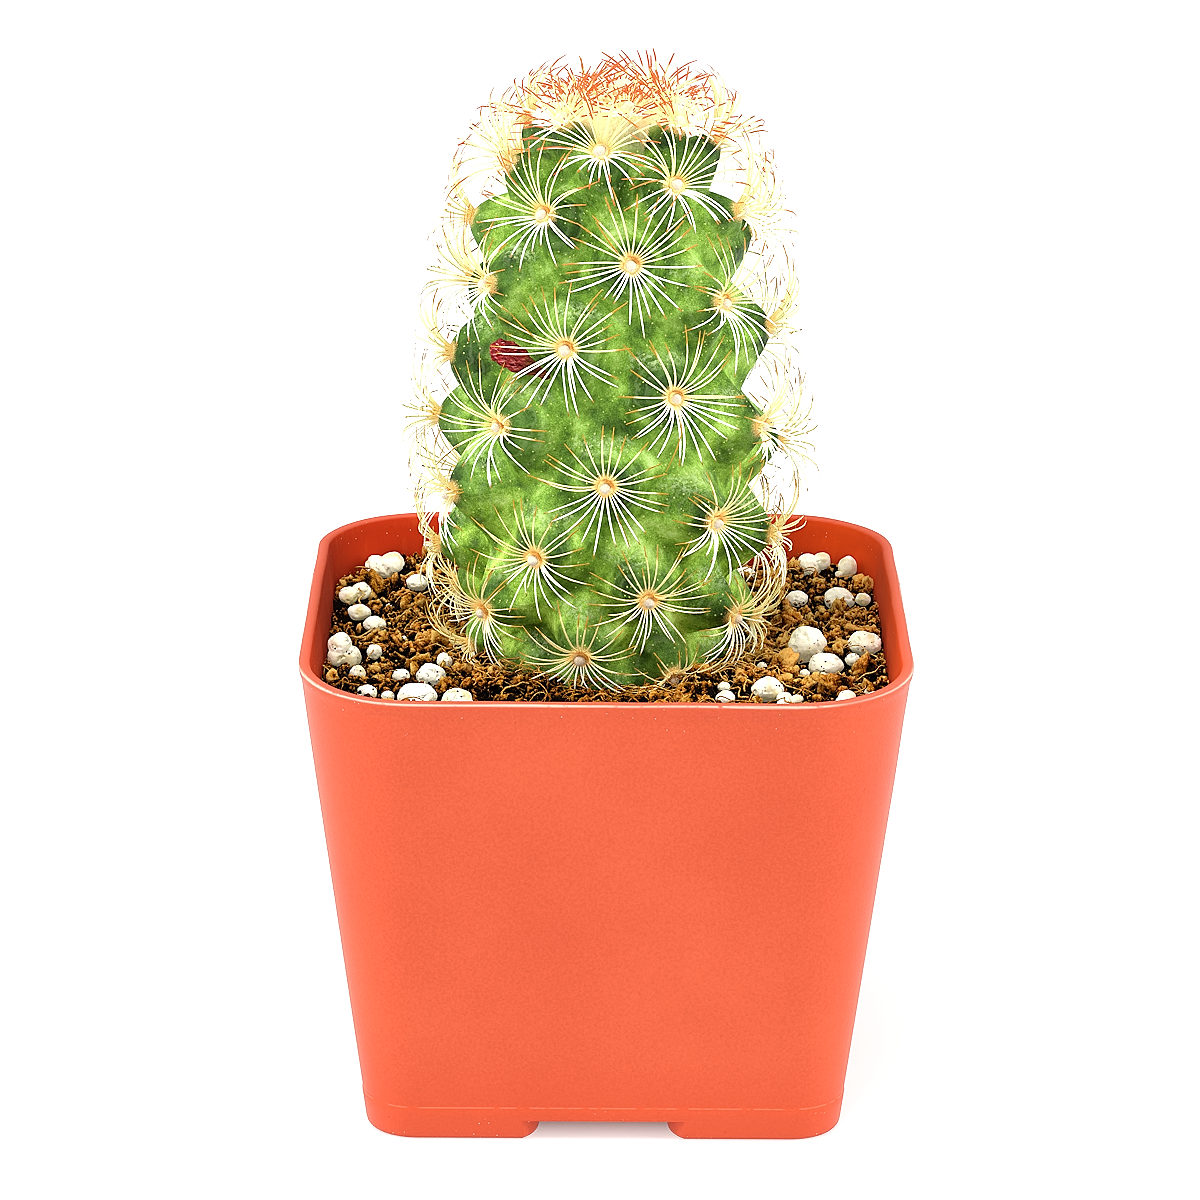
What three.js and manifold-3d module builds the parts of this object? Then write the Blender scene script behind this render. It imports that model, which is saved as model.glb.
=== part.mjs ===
// A ladyfinger cactus growing in a small square nursery pot. Millimetres, +Z up.
// The origin is on the surface that the pot stands on, under the middle of the pot.
import * as THREE from "three";
import { mergeVertices } from "three/addons/utils/BufferGeometryUtils.js";
import Module from "manifold-3d";

const wasm = await Module();
wasm.setup();

const { smoothstep, lerp, degToRad } = THREE.MathUtils;

// Clearance between pieces that rest in each other
const clearance = 0.3;

// Pot
const potHeight = 46;
const potBaseHalf = 22.5;
const potTopHalf = 28.5;
const potBaseCorner = 4.8;
const potTopCorner = 11.2;
const potWall = 1;
const potEdge = 0.4;
const potLineHeight = 3.5;
const potLineStep = 0.12;
const potCornerSteps = 5;
const channelHalf = 6.1;
const channelHeight = 2.1;
const footCorner = 3.4;
const footReach = 24;
const drainRadius = 2;
const drainDistance = 13;

// Soil
const soilLevel = 41.7;
const soilCells = 21;
const soilFloor = channelHeight + potWall;

// Cactus stem: the line through the tubercle tips, from the crown to the soil, as radius and height
const stemTips = [
  [0, 96],
  [4, 95.4],
  [8, 93.5],
  [10.8, 90],
  [12.9, 85.5],
  [14.3, 79.5],
  [15.6, 71.5],
  [16.6, 63],
  [16.4, 55],
  [15.5, 48],
  [14, 43.6],
  [12, 41],
];
const stemX = 0.2;
const stemY = 1;
const stemLean = 0.015;
const stemLeanHeight = 70;
const stemColumns = 36;
const stemRows = 28;
const crownRadiusAlong = 0.9;
const tubercleHeight = 4.1;
const tubercleRoundness = 1.5;
const crownFade = 13;
const soilFade = 5;
// The buried end of the stem and its root, as radius and height
const root = [
  [0.5, 21],
  [1.3, 27],
  [2.4, 31.5],
  [5.5, 35],
  [9.3, 37.6],
];

// The mouth of the soil's hole for the stem, above its root, as radius and height
const holeColumns = 20;
const holeMouth = [
  [12.1, 41],
  [13.9, 42.6],
  [17, 45.5],
];

// Areoles stand on a spiral, each a fixed turn on from the last, from the crown down
const areoleCount = 73;
const areoleTurn = 99.56;
const areoleStart = 38.2;

// Spines
const spineCount = 8;
const crownSpineCount = 6;
const crownAreoles = 8;
const spineLength = 6.9;
const crownSpineLength = 4.6;
const spineHalfWidth = 0.15;
const areoleRadius = 0.55;
const areoleHeight = 0.45;
const areoleSink = 1.1;
const spineSoilClear = 0.6;
// Tubercles lower than this over the soil are half buried and carry no spines
const areoleSoilClear = 1;

// Dried flower: two ends of its middle line, and its widest half width
const flowerTip = new THREE.Vector3(-10.9, -9.2, 74.4);
const flowerBase = new THREE.Vector3(-6.3, -9.9, 72.2);
const flowerHalf = 1.2;
const flowerRings = 7;
const flowerColumns = 9;
const flowerClear = 1.1;

// Perlite grains: place, width and height of each, as they lie on the soil
const grains = [
  [-22.2, 23, 4, 2.6],
  [-18.9, 18.6, 2.2, 1.8],
  [-24.7, 13.2, 3.2, 2],
  [-24.1, 8.4, 2.2, 1.8],
  [-22.4, 4.4, 2.3, 1.6],
  [-24.8, -4.5, 3.2, 3.6],
  [-23.5, -9.2, 1.6, 1.5],
  [-22.1, -3.2, 1.5, 1.4],
  [-19.5, -8.6, 1.7, 1.4],
  [-16.6, -8.4, 2.9, 2.6],
  [-17.7, -16.5, 3.6, 2.8],
  [-13.9, -17.5, 3, 2.4],
  [-20.4, -14.2, 1.2, 1.3],
  [-22.4, -13.6, 1.9, 1.4],
  [-15.3, -4.8, 1.5, 1.6],
  [21, 23.6, 3.4, 2.6],
  [24.4, 22.1, 2, 2.1],
  [23.2, 15.8, 3.1, 2.5],
  [25.5, 14.2, 1.6, 1.2],
  [19, 15.6, 2.2, 1.7],
  [19.3, -1.4, 3.7, 4],
  [21.2, -5.5, 3.3, 2.4],
  [24.9, -0.9, 3.2, 2.6],
  [23.7, -3.9, 1.5, 1.2],
  [15.2, -13.5, 3.1, 2.4],
  [16.6, -17.2, 1.6, 1.3],
  [22.3, -17.2, 2, 1.5],
  [25.1, -14.8, 1.7, 1.4],
  [11.2, -15, 1.8, 1.6],
];
// More grains on the strips in front of and behind the stem, drawn at random
const spareGrains = 6;
const spareGrainSeed = 5;
const smallGrain = 2.5;
const grainSink = 0.18;
// A cup has flatter faces than its grain, so it is wider by this share of the grain's width
const cupSpare = 0.06;

// A repeatable stream of random numbers from 0 to 1
function randomStream(seed) {
  let state = seed;
  return () => {
    state = (state * 1664525 + 1013904223) % 4294967296;
    return state / 4294967296;
  };
}

// The closed solid that a geometry's faces bound
function solidOf(geometry) {
  const bare = new THREE.BufferGeometry();
  bare.setAttribute("position", geometry.getAttribute("position"));
  bare.setIndex(geometry.index);
  const merged = mergeVertices(bare, 1e-5);
  const mesh = new wasm.Mesh({
    numProp: 3,
    vertProperties: merged.getAttribute("position").array,
    triVerts: new Uint32Array(merged.index.array),
  });
  return new wasm.Manifold(mesh);
}

function geometryOf(solid) {
  const mesh = solid.getMesh();
  const geometry = new THREE.BufferGeometry();
  geometry.setAttribute("position", new THREE.BufferAttribute(mesh.vertProperties, 3));
  geometry.setIndex(new THREE.BufferAttribute(mesh.triVerts, 1));
  return geometry;
}

function geometryFrom(points, faces) {
  const geometry = new THREE.BufferGeometry().setFromPoints(points);
  geometry.setIndex(faces);
  return geometry;
}

// A closed surface through rings of equal count, from the lowest to the highest, with flat ends
function loft(rings) {
  const count = rings[0].length;
  const last = (rings.length - 1) * count;
  const faces = [];
  for (let ring = 0; ring < last; ring += count) {
    for (let i = 0; i < count; i += 1) {
      const here = ring + i;
      const next = ring + ((i + 1) % count);
      faces.push(here, next, next + count);
      faces.push(here, next + count, here + count);
    }
  }
  for (let i = 1; i < count - 1; i += 1) {
    faces.push(0, i + 1, i);
    faces.push(last, last + i, last + i + 1);
  }
  return geometryFrom(rings.flat(), faces);
}

function potHalfAt(z) {
  return lerp(potBaseHalf, potTopHalf, z / potHeight);
}

function potCornerAt(z) {
  return lerp(potBaseCorner, potTopCorner, z / potHeight);
}

// The pot's outline at one height, moved in by an inset
function potRing(z, inset) {
  const radius = potCornerAt(z) - inset;
  const middle = potHalfAt(z) - potCornerAt(z);
  const ring = [];
  for (let corner = 0; corner < 4; corner += 1) {
    const quarter = (corner * Math.PI) / 2;
    const x = Math.sign(Math.cos(quarter + Math.PI / 4)) * middle;
    const y = Math.sign(Math.sin(quarter + Math.PI / 4)) * middle;
    for (let step = 0; step <= potCornerSteps; step += 1) {
      const angle = quarter + (step / potCornerSteps) * (Math.PI / 2);
      ring.push(new THREE.Vector3(x + radius * Math.cos(angle), y + radius * Math.sin(angle), z));
    }
  }
  return ring;
}

// A foot's outline in plan: three corners have one radius and the outer one has its own
function footShape(inner, outer, radius, outerRadius) {
  const shape = new THREE.Shape();
  shape.absarc(inner + radius, inner + radius, radius, Math.PI, 1.5 * Math.PI);
  shape.absarc(outer - radius, inner + radius, radius, 1.5 * Math.PI, 2 * Math.PI);
  shape.absarc(outer - outerRadius, outer - outerRadius, outerRadius, 0, Math.PI / 2);
  shape.absarc(inner + radius, outer - radius, radius, Math.PI / 2, Math.PI);
  return shape;
}

// Four upright columns with a foot's outline, one at each corner of the pot
function footColumns(shape, from, to) {
  const settings = { depth: to - from, bevelEnabled: false, curveSegments: 3 };
  const columns = [0, 1, 2, 3].map((quarter) => {
    const column = new THREE.ExtrudeGeometry(shape, settings);
    column.translate(0, 0, from);
    column.rotateZ((quarter * Math.PI) / 2);
    return solidOf(column);
  });
  return columns.reduce((all, column) => all.add(column));
}

// The room inside the pot, with its pockets down into the feet, moved in by an inset
function potRoom(inset, top) {
  const wall = potWall + inset;
  const room = loft([potRing(soilFloor + inset, wall), potRing(top, wall)]);
  const pocket = footShape(
    channelHalf + wall,
    potHalfAt(0) - wall,
    footCorner - wall,
    potBaseCorner - wall,
  );
  return solidOf(room).add(footColumns(pocket, potWall + inset, soilFloor + 1));
}

function drainHoles() {
  const places = [
    [0, 0],
    [drainDistance, 0],
    [-drainDistance, 0],
    [0, drainDistance],
    [0, -drainDistance],
  ];
  const holes = places.map(([x, y]) => {
    const hole = new THREE.CylinderGeometry(drainRadius, drainRadius, 3 * potWall, 12);
    hole.rotateX(Math.PI / 2);
    hole.translate(x, y, soilFloor - potWall / 2);
    return solidOf(hole);
  });
  return holes.reduce((all, hole) => all.add(hole));
}

function makePot() {
  const outside = loft([
    potRing(0, potEdge - potLineStep),
    potRing(potEdge, -potLineStep),
    potRing(potLineHeight, -potLineStep),
    potRing(potLineHeight + potLineStep, 0),
    potRing(potHeight - potEdge / 2, 0),
    potRing(potHeight, potEdge / 2),
  ]);
  const under = new THREE.BoxGeometry(2 * footReach, 2 * footReach, 2 * channelHeight);
  const foot = footShape(channelHalf, potHalfAt(0) + 2 * potEdge, footCorner, 1);
  const channels = solidOf(under).subtract(footColumns(foot, -3, 3));
  return solidOf(outside)
    .subtract(channels)
    .subtract(potRoom(0, potHeight + 1))
    .subtract(drainHoles());
}

// The height of the crumbly soil surface
function soilHeight(x, y) {
  const broad = 0.5 * Math.sin(0.31 * x + 0.8) * Math.cos(0.27 * y - 0.5);
  const lumps = 0.4 * Math.sin(0.83 * x - 0.61 * y + 1.3) * Math.sin(0.54 * x + 0.87 * y);
  return soilLevel + broad + lumps;
}

function makeSoil(stemHole, cups) {
  const side = 2 * potTopHalf;
  const block = new THREE.BoxGeometry(side, side, 2, soilCells, soilCells, 1);
  const position = block.getAttribute("position");
  for (let i = 0; i < position.count; i += 1) {
    const isTop = position.getZ(i) > 0;
    position.setZ(i, isTop ? soilHeight(position.getX(i), position.getY(i)) : 0);
  }
  const soil = solidOf(block).intersect(potRoom(clearance, potHeight));
  return cups.reduce((rest, cup) => rest.subtract(cup), soil.subtract(stemHole));
}

const tipCurve = new THREE.SplineCurve(stemTips.map(([r, z]) => new THREE.Vector2(r, z)));
const tipLength = tipCurve.getLength();

// The point on the stem at an angle from the front, a distance along from the crown, and a depth in
function stemPoint(angle, along, depth) {
  const share = Math.min(along / tipLength, 1);
  const tip = tipCurve.getPointAt(share);
  const run = tipCurve.getTangentAt(share);
  const radius = tip.x + run.y * depth;
  const z = tip.y - run.x * depth;
  return ringPoint(angle, radius, z);
}

// A point at an angle from the front, round the stem's slightly leaning middle line
function ringPoint(angle, radius, z) {
  const x = stemX + stemLean * (z - stemLeanHeight) + radius * Math.sin(angle);
  return new THREE.Vector3(x, stemY - radius * Math.cos(angle), z);
}

// How far an areole is along the stem from the crown: close together there, then evenly spaced
function areoleAlong(index) {
  const young = Math.min(index, 28);
  const grown = Math.max(index - 28, 0);
  const old = Math.max(index - 42, 0);
  return 0.2 + 0.56 * young + 0.0102 * young * young + 1.15 * grown - 0.0087 * old * old;
}

const areoles = [];
for (let index = 0; index < areoleCount; index += 1) {
  const angle = degToRad(areoleStart + areoleTurn * index);
  const along = areoleAlong(index);
  const place = stemPoint(angle, along, 0);
  const outward = place.clone().sub(stemPoint(angle, along, 1)).normalize();
  areoles.push({ index, angle, along, place, outward });
}

// How high a point stands in its tubercle: 1 at the areole, 0 in the groove to the next tubercle
function tubercleShare(point) {
  const near = areoles.map((areole) => ({ areole, far: areole.place.distanceToSquared(point) }));
  near.sort((a, b) => a.far - b.far);
  const own = near[0];
  let share = 1;
  for (const other of near.slice(1, 9)) {
    const apart = other.areole.place.distanceToSquared(own.areole.place);
    share = Math.min(share, (other.far - own.far) / apart);
  }
  return share;
}

// Angles from the front, evenly spaced once round
function anglesRound(count) {
  return Array.from({ length: count }, (_, i) => (i / count) * 2 * Math.PI);
}

// Rings of the stem from the root to the crown
function stemRings() {
  const angles = anglesRound(stemColumns);
  const rings = root.map(([radius, z]) => angles.map((angle) => ringPoint(angle, radius, z)));
  for (let row = 0; row < stemRows; row += 1) {
    const along = lerp(tipLength, crownRadiusAlong, row / (stemRows - 1));
    const depth =
      tubercleHeight *
      smoothstep(along, 0, crownFade) *
      (1 - smoothstep(along, tipLength - soilFade, tipLength));
    const ring = angles.map((angle) => {
      const share = tubercleShare(stemPoint(angle, along, 0));
      return stemPoint(angle, along, depth * (1 - share) ** tubercleRoundness);
    });
    rings.push(ring);
  }
  return rings;
}

// The plain hole that the soil leaves for the stem
function makeStemHole() {
  const angles = anglesRound(holeColumns);
  const roundUp = 1 / Math.cos(Math.PI / holeColumns);
  const rings = [...root, ...holeMouth].map(([radius, z]) => {
    return angles.map((angle) => ringPoint(angle, (radius + clearance) * roundUp, z));
  });
  rings[0].forEach((point) => {
    point.z -= clearance;
  });
  return solidOf(loft(rings));
}

// Height of the ground under a point: the soil, or the top of a grain that lies there
function groundHeight(x, y) {
  let height = soilHeight(x, y);
  for (const grain of placedGrains) {
    const reach = grain.width / 2 + 1;
    if (Math.hypot(x - grain.x, y - grain.y) < reach) {
      height = Math.max(height, grain.z + grain.height / 2);
    }
  }
  return height;
}

// Moves a point of a spine clear of the ground and of the dried flower
function bendClear(point) {
  const line = new THREE.Line3(flowerTip, flowerBase);
  const nearest = line.closestPointToPoint(point, true, new THREE.Vector3());
  const away = point.clone().sub(nearest);
  const keep = flowerHalf + flowerClear;
  if (away.length() < keep) {
    point.copy(nearest).add(away.setLength(keep));
  }
  point.z = Math.max(point.z, groundHeight(point.x, point.y) + spineSoilClear);
  return point;
}

// One areole: a small pad with a star of three-sided spines that arch out from it
function makeSpineStar({ index, place, outward }) {
  const side = new THREE.Vector3(-outward.y, outward.x, 0).normalize();
  const up = outward.clone().cross(side);
  const grown = smoothstep(index, 0, 20);
  const count = index < crownAreoles ? crownSpineCount : spineCount;
  const length = lerp(crownSpineLength, spineLength, grown);
  const rise = degToRad(lerp(66, 24, grown));
  const end = degToRad(lerp(58, -3, grown));
  const centre = place.clone().addScaledVector(outward, -0.1);
  const at = (angle, radius, height) => {
    return centre
      .clone()
      .addScaledVector(side, radius * Math.cos(angle))
      .addScaledVector(up, radius * Math.sin(angle))
      .addScaledVector(outward, height);
  };
  const points = [at(0, 0, -areoleSink), at(0, 0, areoleHeight)];
  const faces = [];
  const perSpine = 6;
  for (let i = 0; i < count; i += 1) {
    const half = Math.PI / count;
    const angle = 2 * half * (i + 0.5 + 0.37 * index);
    const across = at(angle + Math.PI / 2, 1, 0).sub(at(0, 0, 0));
    const half1 = length / 2;
    const middle = bendClear(
      at(angle, areoleRadius + half1 * Math.cos(rise), half1 * Math.sin(rise)),
    );
    const reach = areoleRadius + half1 * (Math.cos(rise) + Math.cos(end));
    const tip = bendClear(at(angle, reach, half1 * (Math.sin(rise) + Math.sin(end))));
    points.push(at(angle - half, areoleRadius, 0));
    points.push(at(angle, areoleRadius * 0.7, areoleHeight));
    points.push(middle.clone().addScaledVector(across, -spineHalfWidth));
    points.push(middle.clone().addScaledVector(across, spineHalfWidth));
    points.push(middle.clone().addScaledVector(outward, 1.6 * spineHalfWidth));
    points.push(tip);
    const [rim, top, left, right, ridge, point] = [0, 1, 2, 3, 4, 5].map((k) => 2 + perSpine * i + k);
    const nextRim = 2 + perSpine * ((i + 1) % count);
    const nextTop = nextRim + 1;
    faces.push(rim, nextRim, right, rim, right, left);
    faces.push(nextRim, top, ridge, nextRim, ridge, right);
    faces.push(top, rim, left, top, left, ridge);
    faces.push(left, right, point, right, ridge, point, ridge, left, point);
    faces.push(top, nextRim, nextTop, 1, top, nextTop, 0, nextRim, rim);
  }
  return solidOf(geometryFrom(points, faces));
}

// The wrinkled flower, or with an outset the room that it needs
function flowerGeometry(outset) {
  const run = flowerBase.clone().sub(flowerTip);
  const length = run.length();
  run.normalize();
  const across = new THREE.Vector3(0, 0, 1).cross(run).normalize();
  const over = run.clone().cross(across);
  const rings = [];
  for (let row = 0; row < flowerRings; row += 1) {
    const share = row / (flowerRings - 1);
    const body = flowerHalf * (0.35 + 0.65 * Math.sin(Math.PI * share ** 0.8));
    const centre = flowerTip.clone().addScaledVector(run, lerp(-outset, length + outset, share));
    const ring = [];
    for (let column = 0; column < flowerColumns; column += 1) {
      const angle = (column / flowerColumns) * 2 * Math.PI;
      const radius = body * (1 + 0.14 * Math.sin(3 * angle + 4 * share)) + outset;
      const point = centre.clone().addScaledVector(across, radius * Math.cos(angle));
      ring.push(point.addScaledVector(over, radius * Math.sin(angle)));
    }
    rings.push(ring);
  }
  return loft(rings);
}

function placeGrain([x, y, width, height]) {
  return { x, y, width, height, z: soilHeight(x, y) + grainSink * height };
}

// Draws more grains on the strips of soil in front of and behind the stem
function drawSpareGrains(taken) {
  const random = randomStream(spareGrainSeed);
  const drawn = [];
  while (drawn.length < spareGrains) {
    const isFront = drawn.length % 2 === 0;
    const x = lerp(-20, 20, random());
    const y = isFront ? lerp(-24, -19.5, random()) : lerp(20, 24, random());
    const width = lerp(1.8, 3.4, random());
    const clash = [...taken, ...drawn].some((other) => {
      return Math.hypot(x - other.x, y - other.y) < (width + other.width) / 2 + 2;
    });
    if (!clash) {
      drawn.push(placeGrain([x, y, width, 0.8 * width]));
    }
  }
  return drawn;
}

// A lumpy grain, or with an outset the cup that it lies in
function grainGeometry(grain, index, outset) {
  const isPlain = outset > 0 || grain.width < smallGrain;
  const geometry = isPlain
    ? new THREE.OctahedronGeometry(1, 1)
    : new THREE.IcosahedronGeometry(1, 1);
  const position = geometry.getAttribute("position");
  for (let i = 0; i < position.count; i += 1) {
    const point = new THREE.Vector3().fromBufferAttribute(position, i).normalize();
    const lobes = 1 - 0.13 * Math.cos(2 * point.x + index) * Math.sin(3 * point.y + 1.7 * index);
    point.x *= (grain.width / 2) * lobes + outset;
    point.y *= (grain.width / 2.3) * lobes + outset;
    point.z *= (grain.height / 2) * lobes + outset;
    position.setXYZ(i, grain.x + point.x, grain.y + point.y, grain.z + point.z);
  }
  return geometry;
}

function makeMesh(name, geometry, color, roughness) {
  geometry.computeVertexNormals();
  const material = new THREE.MeshStandardMaterial({ color, roughness, metalness: 0 });
  const mesh = new THREE.Mesh(geometry, material);
  mesh.name = name;
  return mesh;
}

const pickedGrains = grains.map(placeGrain);
const placedGrains = [...pickedGrains, ...drawSpareGrains(pickedGrains)];

const flowerRoom = solidOf(flowerGeometry(clearance));
const stem = solidOf(loft(stemRings())).subtract(flowerRoom);
const clearAreoles = areoles.filter(({ place }) => {
  return place.z > groundHeight(place.x, place.y) + areoleSoilClear;
});
const stars = clearAreoles.map(makeSpineStar);
const cactus = stars.reduce((all, star) => all.add(star), stem);

const cups = placedGrains.map((grain, i) => {
  const outset = clearance + cupSpare * grain.width;
  return solidOf(grainGeometry(grain, i, outset));
});
const soil = makeSoil(makeStemHole(), cups);

const pottedCactus = new THREE.Group();
pottedCactus.add(makeMesh("pot", geometryOf(makePot()), 0xf96c4b, 0.55));
pottedCactus.add(makeMesh("soil", geometryOf(soil), 0x4a2d17, 0.95));
pottedCactus.add(makeMesh("cactus", geometryOf(cactus), 0x4f9a3a, 0.6));
pottedCactus.add(makeMesh("dried_flower", flowerGeometry(0), 0x8a1f1c, 0.8));
placedGrains.forEach((grain, i) => {
  const name = "perlite_" + String(i + 1).padStart(2, "0");
  pottedCactus.add(makeMesh(name, grainGeometry(grain, i, 0), 0xefece2, 0.9));
});

export default pottedCactus;
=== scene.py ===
import math

import bmesh
import bpy
import numpy as np
from mathutils import Matrix, Vector, noise


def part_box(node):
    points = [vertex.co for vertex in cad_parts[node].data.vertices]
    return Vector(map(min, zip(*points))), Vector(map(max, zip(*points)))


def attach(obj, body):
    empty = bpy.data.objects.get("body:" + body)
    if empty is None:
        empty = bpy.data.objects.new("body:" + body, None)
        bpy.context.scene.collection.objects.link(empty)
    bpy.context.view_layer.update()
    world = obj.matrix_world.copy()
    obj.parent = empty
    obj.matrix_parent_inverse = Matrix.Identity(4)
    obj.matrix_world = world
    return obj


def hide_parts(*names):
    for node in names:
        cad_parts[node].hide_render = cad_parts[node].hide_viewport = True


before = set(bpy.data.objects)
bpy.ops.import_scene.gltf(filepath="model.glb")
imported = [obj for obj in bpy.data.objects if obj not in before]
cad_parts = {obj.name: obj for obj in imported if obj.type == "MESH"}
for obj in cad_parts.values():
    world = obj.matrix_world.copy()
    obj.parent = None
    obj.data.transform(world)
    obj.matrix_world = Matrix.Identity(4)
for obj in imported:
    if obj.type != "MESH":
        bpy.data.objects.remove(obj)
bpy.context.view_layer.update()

# Pieces are modelled in millimetres and scaled to metres when they are finished
mm = 0.001


def smoothstep(value, low, high):
    share = np.clip((value - low) / (high - low), 0, 1)
    return share * share * (3 - 2 * share)


def mix(a, b, share):
    return a + (b - a) * share


# A node's output socket: sums on it add Math nodes to its material
class Wire:
    def __init__(self, paint, socket):
        self.paint = paint
        self.socket = socket

    def math(self, operation, *values):
        return self.paint.node("ShaderNodeMath", {"operation": operation}, values or [self])

    def __add__(self, other):
        return self.math("ADD", self, other)

    __radd__ = __add__

    def __sub__(self, other):
        return self.math("SUBTRACT", self, other)

    def __rsub__(self, other):
        return self.math("SUBTRACT", other, self)

    def __mul__(self, other):
        return self.math("MULTIPLY", self, other)

    __rmul__ = __mul__

    def clip(self):
        return self.paint.node("ShaderNodeClamp", {}, [self])


# A material under construction
class Paint:
    def __init__(self, name, roughness=0.5, specular=0.5):
        self.material = bpy.data.materials.new(name)
        self.material.use_nodes = True
        self.tree = self.material.node_tree
        self.tree.nodes.clear()
        self.shader = self.tree.nodes.new("ShaderNodeBsdfPrincipled")
        self.shader.inputs["Roughness"].default_value = roughness
        self.shader.inputs["Specular IOR Level"].default_value = specular
        output = self.tree.nodes.new("ShaderNodeOutputMaterial")
        self.tree.links.new(self.shader.outputs["BSDF"], output.inputs["Surface"])

    # Adds a node: its settings first, then the values or wires of its sockets
    def node(self, kind, settings=None, values=(), out=0):
        node = self.tree.nodes.new(kind)
        for name, value in (settings or {}).items():
            if name == "stops":
                self.setStops(node.color_ramp.elements, value)
            else:
                setattr(node, name, value)
        pairs = values.items() if isinstance(values, dict) else enumerate(values)
        for key, value in pairs:
            self.plug(node.inputs[key], value)
        return Wire(self, node.outputs[out])

    def plug(self, socket, value):
        if isinstance(value, Wire):
            self.tree.links.new(value.socket, socket)
        else:
            socket.default_value = value

    def setStops(self, elements, stops):
        elements.remove(elements[1])
        elements[0].position = stops[0][0]
        elements[0].color = (*stops[0][1], 1)
        for position, colour in stops[1:]:
            elements.new(position).color = (*colour, 1)

    # The point on the piece in millimetres, stretched or turned if asked
    def place(self, scale=(1, 1, 1), turn=(0, 0, 0)):
        coordinates = self.node("ShaderNodeTexCoord", out="Object")
        size = [s / mm for s in scale]
        return self.node("ShaderNodeMapping", {}, {"Vector": coordinates, "Rotation": turn, "Scale": size})

    def axis(self, place, name):
        return self.node("ShaderNodeSeparateXYZ", {}, [place], name)

    def noise(self, place, perMm, detail=2, roughness=0.5, warp=0):
        shape = {"Detail": detail, "Roughness": roughness, "Distortion": warp}
        return self.node("ShaderNodeTexNoise", {}, {"Vector": place, "Scale": perMm, **shape})

    def cells(self, place, perMm, feature="F1"):
        return self.node("ShaderNodeTexVoronoi", {"feature": feature}, {"Vector": place, "Scale": perMm})

    def attribute(self, name):
        return self.node("ShaderNodeAttribute", {"attribute_name": name}, out="Fac")

    # 0 at low, 1 at high, smooth between
    def band(self, value, low, high):
        settings = {"interpolation_type": "SMOOTHSTEP"}
        values = {"Value": value, "From Min": low, "From Max": high}
        return self.node("ShaderNodeMapRange", settings, values)

    def ramp(self, value, *stops):
        return self.node("ShaderNodeValToRGB", {"stops": stops}, [value])

    def blend(self, share, a, b, how="MIX"):
        a, b = (c if isinstance(c, Wire) else (*c, 1) for c in (a, b))
        settings = {"data_type": "RGBA", "blend_type": how}
        return self.node("ShaderNodeMix", settings, {0: share, 6: a, 7: b}, 2)

    # Lays colours over a base, each with its share and, unless it is laid plain, how
    def coats(self, base, *layers):
        for share, colour, *how in layers:
            base = self.blend(share, base, colour, *how)
        return base

    def colour(self, wire):
        self.plug(self.shader.inputs["Base Color"], wire)

    def rough(self, wire):
        self.plug(self.shader.inputs["Roughness"], wire)

    # Painted light: the colour glows as emission, standing in for light that shows through a thin thing
    # from behind
    def glow(self, wire, strength):
        self.plug(self.shader.inputs["Emission Color"], wire)
        self.shader.inputs["Emission Strength"].default_value = strength
        self.material.cycles.emission_sampling = "NONE"

    # Turns a height in millimetres into a bump on the normal
    def bump(self, height, strength=1.0):
        values = {"Height": height, "Strength": strength, "Distance": mm}
        self.plug(self.shader.inputs["Normal"], self.node("ShaderNodeBump", {}, values))

    # Light that passes a little way through, with its reach in millimetres for each colour
    def soften(self, weight, reach):
        self.shader.inputs["Subsurface Weight"].default_value = weight
        self.shader.inputs["Subsurface Radius"].default_value = reach
        self.shader.inputs["Subsurface Scale"].default_value = mm


def meshFrom(bm):
    mesh = bpy.data.meshes.new("shape")
    bm.to_mesh(mesh)
    bm.free()
    return mesh


def pointsOf(mesh):
    points = np.empty(len(mesh.vertices) * 3, dtype=np.float32)
    mesh.vertices.foreach_get("co", points)
    return points.reshape(-1, 3).astype(float)


def setPoints(mesh, points):
    mesh.vertices.foreach_set("co", np.asarray(points, dtype=np.float32).ravel())
    mesh.update()


def addAttribute(mesh, name, values):
    layer = mesh.attributes.new(name, "FLOAT", "POINT")
    layer.data.foreach_set("value", np.asarray(values, dtype=np.float32).ravel())


# One mesh that holds copies of a template, one after another
def repeatMesh(template, count):
    bm = bmesh.new()
    for _ in range(count):
        bm.from_mesh(template)
    return meshFrom(bm)


def rotations(turns):
    return np.array([Matrix.Rotation(angle, 3, Vector(axis)) for axis, angle in turns])


# Finishes a mesh as a piece: to metres, smooth, with its paint, tied to the model
def finishPiece(name, mesh, paint, nodes=(), smooth=True):
    mesh.transform(Matrix.Scale(mm, 4))
    mesh.name = name
    mesh.polygons.foreach_set("use_smooth", [smooth] * len(mesh.polygons))
    mesh.materials.append(paint.material)
    piece = bpy.data.objects.new(name, mesh)
    bpy.context.scene.collection.objects.link(piece)
    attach(piece, "root")
    if nodes:
        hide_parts(*nodes)
    print(name, len(mesh.polygons), "faces")
    return piece


# Camera and light
view = {
    "lens": 148.8,
    "distance": 0.476842,
    "elevation": 18.526,
    "azimuth": -0.132,
    "roll": 0.349,
    "aim": (-0.00056, 0, 0.046487),
    "ambient": 0.76,
    "backdrop": 1.1,
    "floorGlow": 0.66,
    "floorDrop": 0.00002,
    # painted shadow under the pot: the floor's glow colour there, and the distances over which it fades to
    # white
    "paintedPotShadow": (0.12, 0.08, 0.07),
    "paintedPotShadowReach": (16, 23),
    "gamma": 2.2,
    "crispness": 0.6,
    # name, where it stands, width, watts
    "lamps": [
        ("softbox_top", (-0.1, -0.22, 0.62), 0.3, 2.7),
        ("softbox_right", (0.5, -0.1, 0.25), 0.3, 1.9),
        ("softbox_left", (-0.5, -0.1, 0.25), 0.3, 1.7),
    ],
}


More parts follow.
